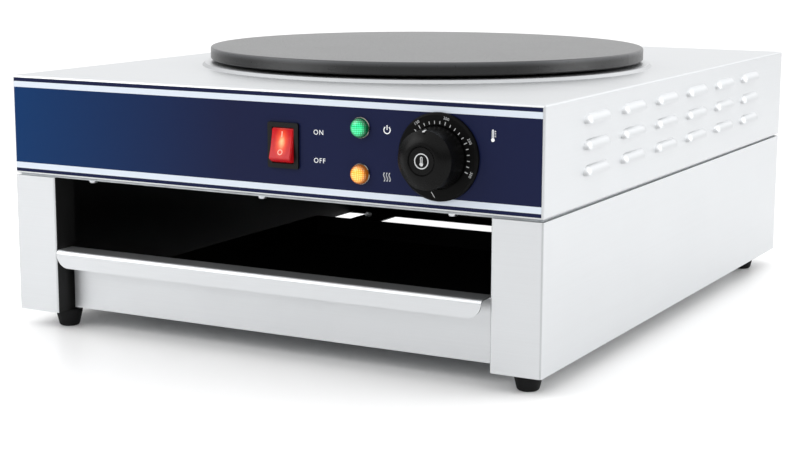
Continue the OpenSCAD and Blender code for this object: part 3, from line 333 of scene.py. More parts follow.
def ring(bm, x, y, inner, outer, start=0.0, end=2 * math.pi, steps=48):
    """A drawn ring, or an arc of one, counted anticlockwise from the right."""
    closed = abs(end - start - 2 * math.pi) < 1e-6
    turns = [start + (end - start) * i / steps for i in range(steps + 1)]
    pairs = [[bm.verts.new((x + r * math.cos(t), y + r * math.sin(t), 0)) for r in (inner, outer)]
             for t in turns]
    if closed:
        pairs[-1] = pairs[0]
    for (a, b), (c, d) in zip(pairs, pairs[1:]):
        bm.faces.new((a, b, d, c))


def disc(bm, x, y, radius, steps=32):
    """A drawn disc."""
    turns = [2 * math.pi * i / steps for i in range(steps)]
    polygon(bm, [(x + radius * math.cos(t), y + radius * math.sin(t)) for t in turns])


def stroke(bm, points, width):
    """A drawn line of even width through points, whose lengths run on a little so that they join."""
    half, lap = width / 2, 0.4
    for (x0, y0), (x1, y1) in zip(points, points[1:]):
        length = math.hypot(x1 - x0, y1 - y0)
        dx, dy = (x1 - x0) / length * half, (y1 - y0) / length * half
        x0, y0, x1, y1 = x0 - dx * lap, y0 - dy * lap, x1 + dx * lap, y1 + dy * lap
        polygon(bm, [(x0 + dy, y0 - dx), (x1 + dy, y1 - dx), (x1 - dy, y1 + dx), (x0 - dy, y0 + dx)])


def lettering(bm, text, height, x, y, turn=0.0, spacing=1.12):
    """Draws plain sans-serif letters or numerals, centred on a point."""
    curve = bpy.data.curves.new("lettering", "FONT")
    curve.body, curve.space_character = text, spacing
    carrier = bpy.data.objects.new("lettering", curve)
    bpy.context.scene.collection.objects.link(carrier)
    solid = carrier.evaluated_get(bpy.context.evaluated_depsgraph_get())
    drawn = bpy.data.meshes.new_from_object(solid)
    bpy.data.objects.remove(carrier)
    bpy.data.curves.remove(curve)
    xs = [v.co.x for v in drawn.vertices]
    ys = [v.co.y for v in drawn.vertices]
    scale = height / (max(ys) - min(ys))
    here = (Matrix.Translation((x, y, 0)) @ Matrix.Rotation(turn, 4, "Z") @ Matrix.Scale(scale, 4)
            @ Matrix.Translation((-(min(xs) + max(xs)) / 2, -(min(ys) + max(ys)) / 2, 0)))
    drawn.transform(here)
    bm.from_mesh(drawn)
    bpy.data.meshes.remove(drawn)


def thicken(bm, faces, shift):
    """Draws faces out into a solid."""
    grown = bmesh.ops.extrude_face_region(bm, geom=faces)["geom"]
    bmesh.ops.translate(bm, vec=shift, verts=[g for g in grown if isinstance(g, bmesh.types.BMVert)])


def raise_marks(bm, height, place):
    """Gives drawn marks their thickness and sets them on a surface; marks that share an edge become one."""
    bmesh.ops.remove_doubles(bm, verts=bm.verts, dist=1e-7)
    faces = list(bm.faces)
    bmesh.ops.recalc_face_normals(bm, faces=faces)
    for face in faces:
        if face.normal.z < 0:
            face.normal_flip()
    thicken(bm, faces, (0, 0, height))
    bm.transform(place)


def turned(bm, outline, place, steps=64, radius=lambda r, turn: r):
    """Turns an outline of radius and height about the drawn Z axis; radius may vary round the turn."""
    loops = []
    for r, h in outline:
        if r < 1e-7:
            loops.append([bm.verts.new(place @ Vector((0, 0, h)))] * steps)
            continue
        loop = []
        for i in range(steps):
            t = 2 * math.pi * i / steps
            rr = radius(r, t)
            loop.append(bm.verts.new(place @ Vector((rr * math.cos(t), rr * math.sin(t), h))))
        loops.append(loop)
    for low, high in zip(loops, loops[1:]):
        for i in range(steps):
            corners = [low[i], low[(i + 1) % steps], high[(i + 1) % steps], high[i]]
            unique = [v for k, v in enumerate(corners) if v not in corners[:k]]
            if len(unique) > 2:
                bm.faces.new(unique)


def pan_screw(bm, place, head_r, head_h, shank_r, shank_l):
    """A pan-head screw with a cross recess: the head stands on drawn Z 0 and the thread goes down from it."""
    steps, dome, crown = 32, 6, head_r * 0.70
    arm, wide, deep = head_r * 0.55, head_r * 0.13, head_h * 0.45
    cross = [(wide, arm), (wide, wide), (arm, wide), (arm, -wide), (wide, -wide), (wide, -arm),
             (-wide, -arm), (-wide, -wide), (-arm, -wide), (-arm, wide), (-wide, wide), (-wide, arm)]
    shares = [i / dome for i in range(dome)]
    outline = [(crown * (1 - t) + head_r * t, head_h * math.sqrt(1 - t * t)) for t in shares]
    outline += [(head_r, head_h * 0.3), (head_r, 0), (shank_r, 0)]
    # The thread is drawn as rings a little over a third of its radius apart
    turns = int(shank_l / (shank_r * 0.35))
    for i in range(turns):
        outline.append((shank_r * (0.84 if i % 2 else 1.0), -shank_l * (i + 0.5) / turns))
    outline += [(shank_r * 0.7, -shank_l), (0, -shank_l)]
    turned(bm, outline, place, steps)
    flat = [bm.verts.new(place @ Vector((x, y, head_h))) for x, y in cross]
    floor = [bm.verts.new(place @ Vector((x * 0.6, y * 0.6, head_h - deep))) for x, y in cross]
    sides = list(zip(flat, flat[1:] + flat[:1], floor[1:] + floor[:1], floor))
    for side in sides:
        bm.faces.new(side)
    bm.faces.new(floor)
    angles = [2 * math.pi * i / steps for i in range(steps)]
    rim = [bm.verts.new(place @ Vector((crown * math.cos(t), crown * math.sin(t), head_h))) for t in angles]
    edges = [bm.edges.new(pair) for pair in zip(rim, rim[1:] + rim[:1])]
    edges += [bm.edges.get(side[:2]) for side in sides]
    bmesh.ops.triangle_fill(bm, edges=edges, use_beauty=True)


# ------------------------------------------------------------------ operators


class CREPE_OT_sheet_metal(bpy.types.Operator):
    """Satin stainless on the housing, the cabinet and the drawer, with near-black painted shade inside"""

    bl_idname = "crepe.sheet_metal"
    bl_label = "Sheet metal"

    # Each folded shell, its nodes, and the point inside it that its faces with painted shade look towards
    shells = (
        ("housing", ("upper_housing", "rear_panel"), (0, 0, 0.10)),
        ("cabinet", ("cabinet_side_left", "cabinet_side_right", "cabinet_rear"), (0, 0, 0.075)),
        ("runners", ("runner_left", "runner_right"), (0, 0, 0.10)),
        ("tray", ("drawer_tray",), (0, -0.08, 0.062)),
        ("drawer front", ("drawer_front",), (0, -0.10, 0.04)),
    )

    def execute(self, context):
        for name, nodes, centre in self.shells:
            dress(satin_stainless("Satin stainless " + name, centre), *nodes)
        return {"FINISHED"}


class CREPE_OT_base_plate(bpy.types.Operator):
    """Hot-dip galvanised sheet on the base plate between the housing and the cabinet"""

    bl_idname = "crepe.base_plate"
    bl_label = "Base plate"

    def execute(self, context):
        # Galvanised sheet: flat grey crystals about 8 mm across, with near-black painted shade on the
        # underside where it roofs the bay
        inner_shade = tuple(colours().inside_shade)
        made, tree, shader = material("Galvanised base sheet", Metallic=1.0, Roughness=0.42)
        place = add(tree, "TexCoord")
        crystals = add(tree, "TexVoronoi", {"Vector": place.outputs["Object"], "Scale": 1 / (8 * MM)})
        facing = add(tree, "SeparateXYZ", {0: place.outputs["Normal"]})
        # Faces that look down get the painted shade in place of the bare sheet
        under = add(tree, "Math", {0: facing.outputs["Z"], 1: -0.5}, operation="LESS_THAN")
        spangle = add(tree, "Mix", {"Factor": crystals.outputs["Distance"], "A": linear("#9EA2A5"),
                                    "B": linear("#B9BDC0")}, data_type="RGBA")
        connect(shader, {
            "Base Color": add(tree, "Mix", {"Factor": under, "A": spangle, "B": inner_shade}, data_type="RGBA"),
            "Metallic": add(tree, "Math", {0: 1.0, 1: under}, operation="SUBTRACT"),
        })
        dress(made, "base_plate")
        return {"FINISHED"}


class CREPE_OT_cast_plate(bpy.types.Operator):
    """Baked dark coating over the fine turning marks of the cast iron plate"""

    bl_idname = "crepe.cast_plate"
    bl_label = "Cast plate"

    def execute(self, context):
        # Cast iron, turned flat and given a baked coat: dark, satin, and pale where the light grazes it.
        # The turning feed of 0.3 mm is too fine to show, so its rings are drawn 1.4 mm apart.
        # The last value is how far down the edge the painted highlight reaches
        ring_pitch, groove_pitch, highlight_height = 1.4 * MM, 0.8 * MM, 5 * MM
        low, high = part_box("crepe_plate")
        centre = ((low.x + high.x) / 2, (low.y + high.y) / 2, 0)
        coat = tuple(colours().iron_coat)
        made, tree, shader = material("Coated cast iron, turned", Base_Color=coat, Roughness=0.30, IOR=1.52)
        place = add(tree, "TexCoord")
        centred = add(tree, "VectorMath", {0: place.outputs["Object"], 1: centre}, operation="SUBTRACT")
        flat = add(tree, "VectorMath", {0: centred, 1: (1, 1, 0)}, operation="MULTIPLY")
        radius = add(tree, "VectorMath", {0: flat}, operation="LENGTH")
        wobble, pores, clouds = grain(tree, 22 * MM), grain(tree, 1.6 * MM, 3.0), grain(tree, 60 * MM, 3.0)
        moved = add(tree, "Math", {0: wobble, 1: 0.6 * MM, 2: radius}, operation="MULTIPLY_ADD")
        waves = add(tree, "Math", {0: moved, 1: 2 * math.pi / ring_pitch}, operation="MULTIPLY")
        rings = add(tree, "Math", {0: waves}, operation="SINE")
        height = add(tree, "Math", {0: rings, 1: 0.35, 2: pores}, operation="MULTIPLY_ADD")
        patches = add(tree, "MapRange", {"Value": clouds, **NOISE})
        top = add(tree, "Mix", {"Factor": patches, "A": darker(coat, 0.86), "B": darker(coat, 1.14)},
                  data_type="RGBA")
        # The edge is turned as well, in grooves that run round it; its colour is near black low down, with a
        # painted highlight that makes it pale towards the top
        facing = add(tree, "SeparateXYZ", {0: place.outputs["Normal"]})
        on_edge = add(tree, "Math", {0: facing.outputs["Z"], 1: 0.5}, operation="LESS_THAN")
        at = add(tree, "SeparateXYZ", {0: place.outputs["Object"]})
        edge_highlight = add(tree, "MapRange", {"Value": at.outputs["Z"], "From Min": high.z - highlight_height,
                                        "From Max": high.z}, interpolation_type="SMOOTHSTEP")
        # Painted highlight: the edge's colour goes from near black at the bottom to pale at the top
        edge = add(tree, "Mix", {"Factor": edge_highlight, "A": darker(coat, 0.06), "B": darker(coat, 1.7)},
                   data_type="RGBA")
        lines = add(tree, "Math", {0: at.outputs["Z"], 1: 2 * math.pi / groove_pitch}, operation="MULTIPLY")
        grooves = add(tree, "Math", {0: lines}, operation="SINE")
        deep = add(tree, "Math", {0: grooves, 1: 3.5}, operation="MULTIPLY")
        surface = add(tree, "Mix", {"Factor": on_edge, "A": height, "B": deep})
        connect(shader, {
            "Base Color": add(tree, "Mix", {"Factor": on_edge, "A": top, "B": edge}, data_type="RGBA"),
            "Roughness": add(tree, "MapRange", {"Value": pores, **NOISE, "To Min": 0.27, "To Max": 0.35}),
            "Normal": add(tree, "Bump", {"Strength": 1.0, "Distance": 0.012 * MM, "Height": surface}),
        })
        dress(made, "crepe_plate")
        return {"FINISHED"}


class CREPE_OT_printed_panel(bpy.types.Operator):
    """Printed film on the front: navy and white stripes round a blue field, with ON, OFF and plain signs"""

    bl_idname = "crepe.printed_panel"
    bl_label = "Printed panel"

    # Stripes from the top sheet down, in millimetres: where each begins, and its colour
    stripes = ((0.0, "navy"), (5.1, "white"), (10.0, "field"), (74.5, "white"), (79.6, "navy"))
    # Middles of the words and signs, in millimetres to the right of centre and below the top sheet
    words = (("ON", 57.4, -31.0), ("OFF", 58.4, -53.0))
    power_sign, heat_sign, temperature_sign = (118, -25.6), (118, -61.6), (206.5, -24.5)

    def execute(self, context):
        tones, size = colours(), sizes()
        low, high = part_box("control_overlay")
        top = panel_top()
        # Polyester film, screen-printed on the back: even colour under a smooth, slightly wavy gloss, except
        # the field's fade from blue to navy, which is painted light
        made, tree, shader = material("Printed polyester film", Roughness=0.26, IOR=1.58,
                                      Specular_IOR_Level=0.07)
        at = add(tree, "SeparateXYZ", {0: add(tree, "TexCoord").outputs["Object"]})
        blue, navy = tuple(tones.field_lit_blue), tuple(tones.navy_print_and_shade)
        # Painted light: the field is brightest blue at the left and darkens to navy towards the right
        along = add(tree, "MapRange", {"Value": at.outputs["X"], "From Min": low.x,
                                       "From Max": -high.x * 0.1})
        field = add(tree, "Mix", {"Factor": along, "A": blue, "B": navy}, data_type="RGBA")
        drop = add(tree, "Math", {0: top, 1: at.outputs["Z"]}, operation="SUBTRACT")
        paints = {"white": tuple(tones.print_white), "navy": navy, "field": field}
        shade = paints[self.stripes[0][1]]
        for start, kind in self.stripes[1:]:
            below = add(tree, "Math", {0: drop, 1: start * MM}, operation="GREATER_THAN")
            shade = add(tree, "Mix", {"Factor": below, "A": shade, "B": paints[kind]}, data_type="RGBA")
        waves = grain(tree, 18 * MM, 1.0)
        relief = add(tree, "Bump", {"Strength": 0.05, "Distance": 0.05 * MM, "Height": waves})
        connect(shader, {"Base Color": shade, "Normal": relief})
        dress(made, "control_overlay")

        # White screen ink: opaque and matt, a little raised
        ink = speckled("White screen ink", tuple(tones.ink), 0.45, 0.5 * MM, 0.004 * MM, contrast=0.03)
        bm = bmesh.new()
        for word, x, y in self.words:
            lettering(bm, word, size.label_height, x * MM, y * MM, spacing=1.2)
        s = size.sign_height
        # Lamp in circuit: an open ring with a bar through the gap
        x, y = (c * MM for c in self.power_sign)
        ring(bm, x, y, s * 0.34, s * 0.46, math.radians(125), math.radians(415), 36)
        bar(bm, x, y + s * 0.28, s * 0.12, s * 0.52)
        # Heating: three waves
        x, y = (c * MM for c in self.heat_sign)
        for k in (-1, 0, 1):
            wave = [(x + k * s * 0.34 + s * 0.08 * math.sin(2 * math.pi * i / 12),
                     y - s * 0.46 + s * 0.92 * i / 12) for i in range(13)]
            stroke(bm, wave, s * 0.12)
        # Temperature: a thermometer with its bulb, rounded top, open stem and scale
        x, y = (c * MM for c in self.temperature_sign)
        tall = s * 1.3
        disc(bm, x, y - tall * 0.36, tall * 0.16)
        ring(bm, x, y + tall * 0.42, tall * 0.03, tall * 0.09, 0, math.pi, 12)
        for side in (-1, 1):
            bar(bm, x + side * tall * 0.06, y + tall * 0.11, tall * 0.06, tall * 0.62)
        for k in range(4):
            bar(bm, x + tall * 0.22, y + tall * (0.38 - 0.15 * k), tall * 0.14, tall * 0.05)
        raise_marks(bm, size.ink_height, facing_front(0, low.y, top))
        piece("panel_print", bm, ink, "cooker")
        return {"FINISHED"}


class CREPE_OT_temperature_dial(bpy.types.Operator):
    """Moulded black dial with its scale, and the knob with its pointer and sign"""

    bl_idname = "crepe.temperature_dial"
    bl_label = "Temperature dial"

    # The scale: its ticks, the first one's turn from the top and the turn between two, in degrees
    ticks, first_turn, tick_turn = 26, -131, 9.72
    # Every fifth tick has a number: the first is 50, and each tick counts 10
    ticks_per_number, first_number, tick_value = 5, 50, 10
    # The off mark: its turn from the top and its slant in degrees, and its radius, width and length
    off_turn, off_slant, off_radius, off_width, off_length = 186, 35, 28.6 * MM, 0.5 * MM, 5.0 * MM

    def execute(self, context):
        tones, size = colours(), sizes()
        black = tuple(tones.black_plastic)
        # Phenolic moulding with a fine spark-eroded texture: near black, soft wide highlights
        dial = speckled("Moulded phenolic dial", black, 0.42, 0.5 * MM, 0.02 * MM, ior=1.6, gloss=0.05)
        grip = speckled("Moulded phenolic knob", black, 0.28, 0.45 * MM, 0.015 * MM, ior=1.6, gloss=0.08)
        dress(dial, "dial_bezel")
        dress(grip, "knob_grip", "knob_cap")

        low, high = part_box("dial_bezel")
        x, z = (low.x + high.x) / 2, (low.z + high.z) / 2
        # Pad-printed ink: thinner than the panel's, so greyer
        ink = speckled("White dial ink", darker(tones.ink, 0.62), 0.5, 0.5 * MM, 0.004 * MM, contrast=0.05)
        bm = bmesh.new()
        for step in range(self.ticks):
            turn = math.radians(self.first_turn + self.tick_turn * step)
            long = step % self.ticks_per_number == 0
            length = size.tick_length * (1.0 if long else 0.86)
            width = size.tick_width * (1.15 if long else 1)
            middle = size.tick_start + length / 2
            bar(bm, middle * math.sin(turn), middle * math.cos(turn), width, length, -turn)
            if long:
                number = str(self.first_number + self.tick_value * step)
                away = size.numeral_radius
                lettering(bm, number, size.numeral_height, away * math.sin(turn), away * math.cos(turn),
                          -turn)
        turn = math.radians(self.off_turn)
        bar(bm, self.off_radius * math.sin(turn), self.off_radius * math.cos(turn), self.off_width,
            self.off_length, math.radians(self.off_slant))
        raise_marks(bm, size.ink_height, facing_front(x, low.y, z))
        piece("dial_scale", bm, ink, "cooker")

        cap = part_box("knob_cap")[0].y
        outer = size.cap_ring_radius
        bm = bmesh.new()
        ring(bm, 0, 0, outer * 0.86, outer)
        # The thermometer: a stem with a round top, a bulb, and a clear bore with graduations
        stem, up, down = outer * 0.17, outer * 0.50, outer * 0.38
        ring(bm, 0, up - stem / 2, stem * 0.45, stem, 0, math.pi, 16)
        for side in (-1, 1):
            bar(bm, side * stem * 0.725, (up - stem / 2 - down + stem) / 2, stem * 0.55,
                up - stem / 2 + down - stem)
        disc(bm, 0, -down, outer * 0.25)
        for k in range(4):
            bar(bm, stem * 0.1, outer * (0.30 - 0.15 * k), stem * 0.7, outer * 0.045)
        raise_marks(bm, size.ink_height, facing_front(x, cap, z))
        piece("knob_sign", bm, ink, "temperature_knob")

        # Painted pointer let into the notch at the top of the rim: depth behind the rim's face, and radius
        outline = ((2.9, 21.2), (2.9, 21.5), (4.4, 22.0), (6.2, 22.25), (8.0, 22.4), (8.0, 21.2))
        rim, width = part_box("knob_grip")[0].y, 1.7 * MM
        bm = bmesh.new()
        profile = [(x - width / 2, rim + depth * MM, z + radius * MM) for depth, radius in outline]
        bm.faces.new([bm.verts.new(corner) for corner in profile])
        thicken(bm, list(bm.faces), (width, 0, 0))
        bmesh.ops.bevel(bm, geom=list(bm.edges), offset=0.12 * MM, segments=2, affect="EDGES")
        piece("knob_pointer", bm, ink, "temperature_knob")
        return {"FINISHED"}


class CREPE_OT_rocker_switch(bpy.types.Operator):
    """Tinted, lit rocker with moulded marks, in its black frame"""

    bl_idname = "crepe.rocker_switch"
    bl_label = "Rocker switch"

    # The rocker in section: its swing, how far the pressed face and the back lie from the pin, and the dish
    width, swing, face, back, dish = 19.6 * MM, 13.9 * MM, 7.0 * MM, 6.0 * MM, 0.8 * MM
    # Its pins: radius, length, what is inside the rocker, and the chamfer along and across
    pin_radius, pin_length, pin_root, pin_chamfer = 2 * MM, 1.7 * MM, 0.5 * MM, (0.2 * MM, 0.3 * MM)
    # How far it is tilted at rest, in degrees
    rest_tilt = -13.5
    # The marks from the pin: the ring's height and radii, and the bar's foot, links, width and height
    off_height, off_inner, off_outer = -6.6 * MM, 1.55 * MM, 2.25 * MM
    on_height, on_links, on_width, on_link = 5.875 * MM, 4, 0.85 * MM, 1.15 * MM
    mark_depth, mark_sink = 0.2 * MM, 0.06 * MM

    def execute(self, context):
        tones, size = colours(), sizes()
        # Polyamide moulding: black, semi-gloss
        shell = speckled("Moulded polyamide", tuple(tones.black_plastic), 0.36, 0.6 * MM, 0.02 * MM, ior=1.53,
                         gloss=0.2)
        dress(shell, "switch_body", "power_lamp_nut", "heat_lamp_nut", "limit_cutout", "gland_body",
              "gland_nut")

        joint = next(j for j in frame["joints"] if j["name"] == "rocker_tilt")
        x, y, z = joint["pos_m"]
        # Translucent polycarbonate, tinted in the mass: glossy, and brightest in front of its lamp
        red, glow = tuple(tones.rocker_red), tuple(tones.rocker_glow)
        lamp = (x + 0.2 * MM, y, z + 3.2 * MM)
        made, tree, shader = material("Tinted polycarbonate, red", Base_Color=red, Roughness=0.22, IOR=1.58,
                                      Specular_IOR_Level=0.22)
        place = add(tree, "TexCoord")
        offset = add(tree, "VectorMath", {0: place.outputs["Object"], 1: lamp}, operation="SUBTRACT")
        flat = add(tree, "VectorMath", {0: offset, 1: (1.15, 0, 0.62)}, operation="MULTIPLY")
        away = add(tree, "VectorMath", {0: flat}, operation="LENGTH")
        uneven = add(tree, "Math", {0: grain(tree, 3 * MM), 1: 1.6 * MM, 2: away}, operation="MULTIPLY_ADD")
        halo, core = (
            add(tree, "MapRange", {"Value": uneven, "From Min": start * MM, "From Max": stop * MM,
                                   "To Min": 1.0, "To Max": 0.0}, interpolation_type="SMOOTHSTEP")
            for start, stop in ((2.0, 9.8), (1.0, 5.4))
        )
        warm = add(tree, "Mix", {"Factor": halo, "A": red, "B": linear("#F0522F")}, data_type="RGBA")
        lit = add(tree, "Mix", {"Factor": core, "A": warm, "B": glow}, data_type="RGBA")
        strength = add(tree, "MapRange", {"Value": core, "To Min": 0.08, "To Max": 0.60})
        connect(shader, {"Base Color": lit, "Emission Color": lit, "Emission Strength": strength})

        half = self.width / 2
        reach = math.sqrt(self.swing ** 2 - self.face ** 2)
        edge = math.sqrt(self.swing ** 2 - self.back ** 2)

        def dished(height):
            return -self.face + self.dish * (1 - (height / reach) ** 2)

        front, cheek = 12, 8
        heights = [reach * (2 * i / front - 1) for i in range(front + 1)]
        outline = [(dished(height), height) for height in heights]
        start, stop = math.atan2(reach, -self.face), math.atan2(edge, self.back)
        for i in range(1, cheek + 1):
            turn = start + (stop - start) * i / cheek
            outline.append((self.swing * math.cos(turn), self.swing * math.sin(turn)))
        outline += [(across, -up) for across, up in reversed(outline[front + 1:])]
        bm = bmesh.new()
        section = bm.faces.new([bm.verts.new((-half, across, up)) for across, up in outline])
        thicken(bm, [section], (self.width, 0, 0))
        bmesh.ops.recalc_face_normals(bm, faces=bm.faces)
        sharp = [e for e in bm.edges if len(e.link_faces) == 2 and e.calc_face_angle(0) > math.radians(30)]
        bmesh.ops.bevel(bm, geom=sharp, offset=size.rocker_bevel, segments=3, affect="EDGES",
                        clamp_overlap=True)
        # Each pin is closed, and starts a little inside the rocker
        pin = [(0, -self.pin_root), (self.pin_radius, -self.pin_root),
               (self.pin_radius, self.pin_length - self.pin_chamfer[0]),
               (self.pin_radius - self.pin_chamfer[1], self.pin_length), (0, self.pin_length)]
        for side in (-1, 1):
            outwards = Matrix.Rotation(side * math.pi / 2, 4, "Y")
            turned(bm, pin, Matrix.Translation((side * half, 0, 0)) @ outwards, 24)
        tilt = Matrix.Translation((x, y, z)) @ Matrix.Rotation(math.radians(self.rest_tilt), 4, "X")
        bm.transform(tilt)
        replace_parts(piece("rocker_tinted", bm, made, "rocker"), "switch_rocker")

        # The marks are moulded in pale polycarbonate, and follow the dished face
        marks = speckled("Moulded rocker marks", linear("#FFB9A6"), 0.4, 0.5 * MM, 0.004 * MM, contrast=0.03)
        bm = bmesh.new()
        ring(bm, 0, self.off_height, self.off_inner, self.off_outer, steps=32)
        for k in range(self.on_links):
            bar(bm, 0, self.on_height + self.on_link * k, self.on_width, self.on_link)
        raise_marks(bm, self.mark_depth, Matrix())
        for vert in bm.verts:
            right, up, out = vert.co
            vert.co = (right, dished(up) + self.mark_sink - out, up)
        bm.transform(tilt)
        piece("rocker_marks", bm, marks, "rocker")
        return {"FINISHED"}


class CREPE_OT_signal_lamps(bpy.types.Operator):
    """Faceted, tinted lenses in bright plated rims"""

    bl_idname = "crepe.signal_lamps"
    bl_label = "Signal lamps"

    def execute(self, context):
        tones, facet = colours(), sizes().lens_facet
        for lamp, tone, slot, base, spot in (
            ("power_lamp", "green", "green_lens", tuple(tones.lamp_green), linear("#3CF2A2")),
            ("heat_lamp", "amber", "orange_lens", tuple(tones.lamp_amber), linear("#FFD070")),
        ):
            low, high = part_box(lamp + "_lens")
            x, z = (low.x + high.x) / 2, (low.z + high.z) / 2
            radius, height = (high.x - low.x) / 2, high.y - low.y
            # Acrylic lens over a grid of moulded pyramids: glossy outside, sparkling squares of colour inside
            made, tree, shader = material(
                "Tinted acrylic, " + tone, Base_Color=base, Roughness=0.10, IOR=1.49, Specular_IOR_Level=0.1,
                Coat_Weight=1.0, Coat_Roughness=0.05, Coat_IOR=1.5, Emission_Strength=0.85
            )
            place = add(tree, "TexCoord")
            offset = add(tree, "VectorMath", {0: place.outputs["Object"], 1: (x, 0, z)}, operation="SUBTRACT")
            parts = add(tree, "SeparateXYZ", {0: offset})
            slopes = []
            for axis in "XZ":
                scaled = add(tree, "Math", {0: parts.outputs[axis], 1: 1 / facet}, operation="MULTIPLY")
                slopes.append(add(tree, "Math", {0: scaled, 1: 0.5}, operation="PINGPONG"))
            facets = add(tree, "Math", {0: slopes[0], 1: slopes[1]}, operation="MINIMUM")
            across = add(tree, "VectorMath", {0: offset, 1: (1, 0, 1)}, operation="MULTIPLY")
            from_middle = add(tree, "VectorMath", {0: across}, operation="LENGTH")
            central = add(tree, "MapRange", {"Value": from_middle, "From Min": radius * 0.40,
                                             "From Max": radius * 0.98, "To Min": 1.0, "To Max": 0.03},
                          interpolation_type="SMOOTHSTEP")
            peaks = add(tree, "MapRange", {"Value": facets, "From Min": 0.06, "From Max": 0.34})
            sparkle = add(tree, "Math", {0: peaks, 1: central}, operation="MULTIPLY")
            deep = add(tree, "Mix", {"Factor": central, "A": darker(base, 0.16), "B": base}, data_type="RGBA")
            inner = add(tree, "Mix", {"Factor": sparkle, "A": deep, "B": spot}, data_type="RGBA")
            relief = add(tree, "Bump", {"Strength": 0.35, "Distance": 0.25 * MM, "Height": facets})
            connect(shader, {"Base Color": inner, "Emission Color": inner, "Normal": relief})

            # A short straight wall, then a low dome
            wall, shoulder, crown, steps = 0.16, 0.26, 0.97, 8
            outline = [(0, 0), (radius, 0), (radius, height * wall), (radius * crown, height * shoulder)]
            for i in range(1, steps):
                turn = i / steps * math.pi / 2
                outline.append((radius * crown * math.cos(turn),
                                height * (shoulder + (1 - shoulder) * math.sin(turn))))
            outline.append((0, height))
            bm = bmesh.new()
            turned(bm, outline, facing_front(x, high.y, z), 48)
            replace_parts(piece(lamp + "_facets", bm, made, "cooker"), lamp + "_lens")
        # Nickel on brass: a thin bright ring round each lens
        plated = speckled("Bright nickel plate", linear("#8F8C86"), 0.24, 2 * MM, 0.003 * MM, metallic=1.0,
                          contrast=0.04)
        dress(plated, "power_lamp_body", "heat_lamp_body", "thermostat_shaft")
        return {"FINISHED"}


class CREPE_OT_screws(bpy.types.Operator):
    """Zinc-plated cross-head screws, and the nuts and studs behind them"""

    bl_idname = "crepe.screws"
    bl_label = "Screws"

    def execute(self, context):
        # Zinc plate on rolled steel: pale, slightly blue, with soft patchy gloss
        plate = speckled("Zinc-plated steel", tuple(colours().zinc), 0.30, 1.2 * MM, 0.01 * MM, metallic=1.0)
        dress(plate, "foot_screws", "foot_nuts", "cabinet_screws", "frame_nuts", "plate_studs", "stud_nuts",
              "plate_spacers", "thermostat_screws", "earth_stud")
        head_r, head_h, shank_r = 3.8 * MM, 2.6 * MM, 2 * MM

        # Three point up into the front ledge, each with its recess turned another way
        low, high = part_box("front_screws")
        reach = high.x - head_r
        bm = bmesh.new()
        for x in (-reach, 0, reach):
            seat = Matrix.Translation((x, (low.y + high.y) / 2, low.z + head_h))
            recess = Matrix.Rotation(0.4 + 9 * x, 4, "Z")
            pan_screw(bm, seat @ Matrix.Rotation(math.pi, 4, "X") @ recess, head_r, head_h, shank_r,
                      high.z - low.z - head_h)
        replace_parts(piece("front_screw_heads", bm, plate, "cooker"), "front_screws")

        # Six hold the rear panel: two low, two level with the controls' top, and two in the top flange
        low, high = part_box("rear_panel_screws")
        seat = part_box("rear_panel")[1].y
        side, top, bottom = high.x - head_r, high.z - head_r, low.z + head_r
        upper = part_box("control_overlay")[1].z - 20 * MM
        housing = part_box("upper_housing")
        inner = (housing[1].x - housing[0].x) / 5
        bm = bmesh.new()
        for x, z in ((side, bottom), (side, upper), (inner, top)):
            for mirror in (-1, 1):
                recess = Matrix.Rotation(7 * mirror * x + z, 4, "Z")
                pan_screw(bm, facing_back(mirror * x, seat, z) @ recess, head_r, head_h, shank_r,
                          seat - low.y)
        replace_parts(piece("rear_screw_heads", bm, plate, "cooker"), "rear_panel_screws")
        return {"FINISHED"}


class CREPE_OT_feet_and_gland(bpy.types.Operator):
    """Rubber feet, and the ribbed cap and seal of the cable gland"""

    bl_idname = "crepe.feet_and_gland"
    bl_label = "Feet and gland"

    # The cap in section: radii of its mouth, its lip and its bore, and the depth of the bore's end
    mouth, lip, bore, bore_end = 6.2 * MM, 6.6 * MM, 9.05 * MM, 5 * MM
    # Its rounded outer end, from the rim inwards: less than the outer radius, and less than the length
    rounding = ((0.6, 3.4), (1.9, 1.2), (3.2, 0.2), (3.8, 0))

    def execute(self, context):
        # Moulded EPDM rubber: matt, near black, faintly dusty
        black = tuple(colours().rubber)
        rubber = speckled("Moulded rubber", black, 0.68, 0.8 * MM, 0.04 * MM, contrast=0.2, gloss=0.2)
        dress(rubber, "foot_front_left", "foot_front_right", "foot_rear_left", "foot_rear_right",
              "gland_seal")
        # Moulded nylon: black, a little greyer and glossier than the rubber
        nylon = speckled("Moulded nylon gland", darker(black, 1.3), 0.45, 0.6 * MM, 0.02 * MM, ior=1.53,
                         gloss=0.3)
        low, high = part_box("gland_cap")
        x, z = (low.x + high.x) / 2, (low.z + high.z) / 2
        outer, length = (high.x - low.x) / 2, high.y - low.y
        ribs = sizes().gland_ribs

        def ribbed(r, turn):
            groove = max(0.0, math.cos(ribs * turn)) ** 0.6 if r > outer * 0.93 else 0.0
            return r - 0.06 * outer * groove

        step = (self.mouth, length - 3 * MM)
        outline = [step, (self.bore, length - self.bore_end), (self.bore, 0), (outer - 0.5 * MM, 0),
                   (outer, 0.5 * MM), (outer, length - 5 * MM)]
        outline += [(outer - inwards * MM, length - down * MM) for inwards, down in self.rounding]
        outline += [(self.lip, length), (self.mouth, length - 0.4 * MM), step]
        bm = bmesh.new()
        turned(bm, outline, facing_back(x, low.y, z), ribs * 12, ribbed)
        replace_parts(piece("gland_cap_ribbed", bm, nylon, "cooker", 50), "gland_cap")
        return {"FINISHED"}


